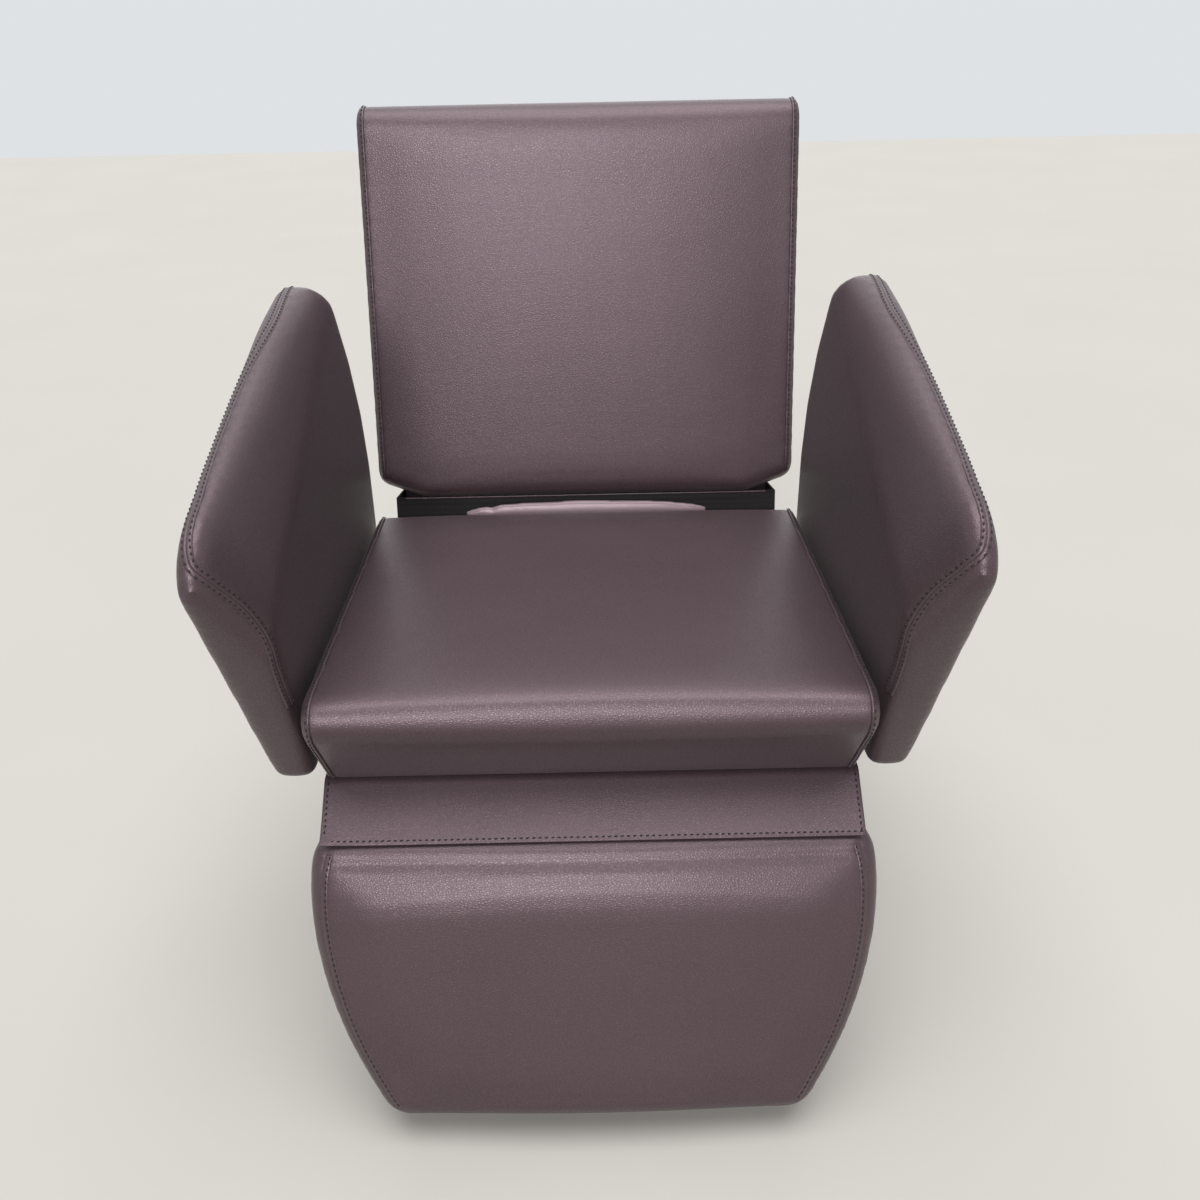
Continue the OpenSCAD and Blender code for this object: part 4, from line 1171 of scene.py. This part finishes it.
class CHAIR_OT_trim(bpy.types.Operator):
    """Add the plugs in the open tube ends and the ribbed sleeve of the release lever"""

    bl_idname = "chair.trim"
    bl_label = "Trim"

    def execute(self, context):
        for word in ("left", "right"):
            low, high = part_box(f"rail_{word}")
            for end, y, turn in (("front", low.y, 1), ("rear", high.y, -1)):
                plug = tube_plug(f"rail_plug_{end}_{word}", 25 * MM, 2.6 * MM)
                plug.matrix_world = Matrix.Translation(
                    ((low.x + high.x) / 2, y, (low.z + high.z) / 2)
                ) @ Matrix.Rotation(turn * math.pi / 2, 4, "X")
                settle(plug)
                dress(plug, "rubber_edge", "base")
            low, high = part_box(f"leg_upright_{word}")
            plug = tube_plug(f"leg_plug_{word}", 20 * MM, 2.6 * MM)
            plug.matrix_world = Matrix.Translation(
                ((low.x + high.x) / 2, LEG_TUBE_REAR - 10 * MM, LEG_TUBE_FOOT)
            ) @ Matrix.Rotation(math.pi, 4, "X")
            settle(plug, LEG)
            dress(plug, "rubber_edge", "leg_rest")

        low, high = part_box("release_lever")
        y = low.y + 10.5 * MM
        z = low.z + 10.5 * MM
        length = 46 * MM
        bpy.ops.mesh.primitive_cylinder_add(
            vertices=36,
            radius=11.6 * MM,
            depth=length,
            location=(high.x - length / 2 + 1.5 * MM, y, z),
            rotation=(0, math.pi / 2, 0),
        )
        sleeve = bpy.context.object
        sleeve.name = "lever_sleeve"
        settle(sleeve)
        choose(sleeve)
        bpy.ops.object.mode_set(mode="EDIT")
        start = high.x - length + 1.5 * MM
        for k in range(1, 23):
            bpy.ops.mesh.select_all(action="SELECT")
            bpy.ops.mesh.bisect(plane_co=(start + k * 2 * MM, y, z), plane_no=(1, 0, 0))
        for k in range(1, 22, 2):
            place = start + k * 2 * MM
            select_where(lambda v: abs(v.co.x - place) < 0.2 * MM, "verts")
            bpy.ops.transform.resize(value=(1, 0.92, 0.92), center_override=(place, y, z))
        bpy.ops.object.mode_set(mode="OBJECT")
        apply_modifier(sleeve, "BEVEL", width=0.5 * MM, segments=2, limit_method="ANGLE")
        smooth(sleeve, 60)
        dress(sleeve, "rubber_edge", "release")
        return {"FINISHED"}


def soft_sky(name, elevation, azimuth, spread_angle, strength):
    """A wide soft light, like the whole of a diffuser panel, from one side of the room"""
    lamp = bpy.data.lights.new(name, "SUN")
    lamp.angle = math.radians(spread_angle)
    lamp.energy = strength
    obj = bpy.data.objects.new(name, lamp)
    high, side = math.radians(elevation), math.radians(azimuth)
    towards = Vector((math.sin(side) * math.cos(high), -math.cos(side) * math.cos(high), math.sin(high)))
    obj.location = towards * 3
    obj.rotation_euler = towards.to_track_quat("Z", "Y").to_euler()
    bpy.context.collection.objects.link(obj)


class CHAIR_OT_stage(bpy.types.Operator):
    """Set the pale floor, the studio light and the camera"""

    bl_idname = "chair.stage"
    bl_label = "Stage"

    @staticmethod
    def show_as(tree, lighting, seen, output):
        """Shows one shader to the eye and in gloss and glass, and another to everything that it lights"""
        rays = add_node(tree, "ShaderNodeLightPath")
        direct = add_node(
            tree,
            "ShaderNodeMath",
            None,
            {0: rays.outputs["Is Camera Ray"], 1: rays.outputs["Is Glossy Ray"]},
            operation="MAXIMUM",
        )
        either = add_node(
            tree,
            "ShaderNodeMath",
            None,
            {0: direct.outputs[0], 1: rays.outputs["Is Transmission Ray"]},
            operation="MAXIMUM",
        )
        both = add_node(tree, "ShaderNodeMixShader", None, {0: either.outputs[0], 1: lighting, 2: seen})
        tree.links.new(both.outputs[0], output.inputs["Surface"])

    def execute(self, context):
        scene = context.scene
        bpy.ops.mesh.primitive_plane_add(size=14, location=(0, 0, 0))
        floor = context.object
        floor.name = "floor"
        tree, shader, place = start_material("studio_floor", "#c8c4be", 0.9, Specular_IOR_Level=0.1)
        drift = add_node(tree, "ShaderNodeTexNoise", {"Scale": 2.0, "Detail": 3.0}, {"Vector": place})
        tone = add_node(
            tree,
            "ShaderNodeMix",
            {6: srgb("#c5c1bb"), 7: srgb("#cbc7c1")},
            {0: drift.outputs["Fac"]},
            data_type="RGBA",
        )
        wire(tree, shader, {"Base Color": tone.outputs[2]})
        # Seen straight or in a reflection the floor is pale, but it throws less light up under the chair
        dim = add_node(tree, "ShaderNodeBsdfDiffuse", {"Color": srgb("#6b6762")})
        self.show_as(tree, dim.outputs[0], shader.outputs[0], tree.nodes["Material Output"])
        floor.data.materials.append(bpy.data.materials["studio_floor"])

        world = bpy.data.worlds.new("studio")
        world.use_nodes = True
        scene.world = world
        tree = world.node_tree
        light = tree.nodes["Background"]
        light.inputs["Color"].default_value = srgb("#e9edf2")
        light.inputs["Strength"].default_value = 0.16
        shown = add_node(tree, "ShaderNodeBackground", {"Color": srgb("#dfe2e5"), "Strength": 1.0})
        self.show_as(tree, light.outputs[0], shown.outputs[0], tree.nodes["World Output"])

        soft_sky("light_above", 84, 0, 52, 2.5)
        soft_sky("light_front", 27, -5, 26, 1.75)
        soft_sky("light_behind", 38, 180, 60, 0.6)

        lens = bpy.data.cameras.new("camera")
        lens.sensor_width = 36
        lens.lens = 36
        lens.shift_x = 0.01
        camera = bpy.data.objects.new("camera", lens)
        camera.matrix_world = (
            Matrix.Translation((0, -1.143, 1.042))
            @ Matrix.Rotation(math.radians(62), 4, "X")
            @ Matrix.Rotation(math.radians(-1.2), 4, "Z")
        )
        context.collection.objects.link(camera)
        scene.camera = camera
        scene.view_settings.view_transform = "Standard"
        return {"FINISHED"}


class CHAIR_PT_panel(bpy.types.Panel):
    """Lists the chair's pieces and sizes"""

    bl_idname = "CHAIR_PT_panel"
    bl_label = "Chair"
    bl_space_type = "VIEW_3D"
    bl_region_type = "UI"
    bl_category = "Chair"

    def draw(self, context):
        chair = context.scene.chair
        for key in chair.bl_rna.properties.keys():
            if key not in ("rna_type", "name"):
                self.layout.prop(chair, key)
        for step in STEPS:
            self.layout.operator(step.bl_idname)


STEPS = (
    CHAIR_OT_finishes,
    CHAIR_OT_seat,
    CHAIR_OT_backrest,
    CHAIR_OT_leg_rest,
    CHAIR_OT_arms,
    CHAIR_OT_flap,
    CHAIR_OT_gap_roll,
    CHAIR_OT_boards,
    CHAIR_OT_rear_covers,
    CHAIR_OT_trim,
    CHAIR_OT_stage,
)


def register():
    for item in (ChairSettings, CHAIR_PT_panel, *STEPS):
        bpy.utils.register_class(item)
    bpy.types.Scene.chair = bpy.props.PointerProperty(type=ChairSettings)


def unregister():
    del bpy.types.Scene.chair
    for item in reversed((ChairSettings, CHAIR_PT_panel, *STEPS)):
        bpy.utils.unregister_class(item)


def main():
    register()
    bpy.ops.chair.finishes()
    bpy.ops.chair.seat()
    bpy.ops.chair.backrest()
    bpy.ops.chair.leg_rest()
    bpy.ops.chair.arms()
    bpy.ops.chair.flap()
    bpy.ops.chair.gap_roll()
    bpy.ops.chair.boards()
    bpy.ops.chair.rear_covers()
    bpy.ops.chair.trim()
    bpy.ops.chair.stage()


if __name__ == "__main__":
    main()
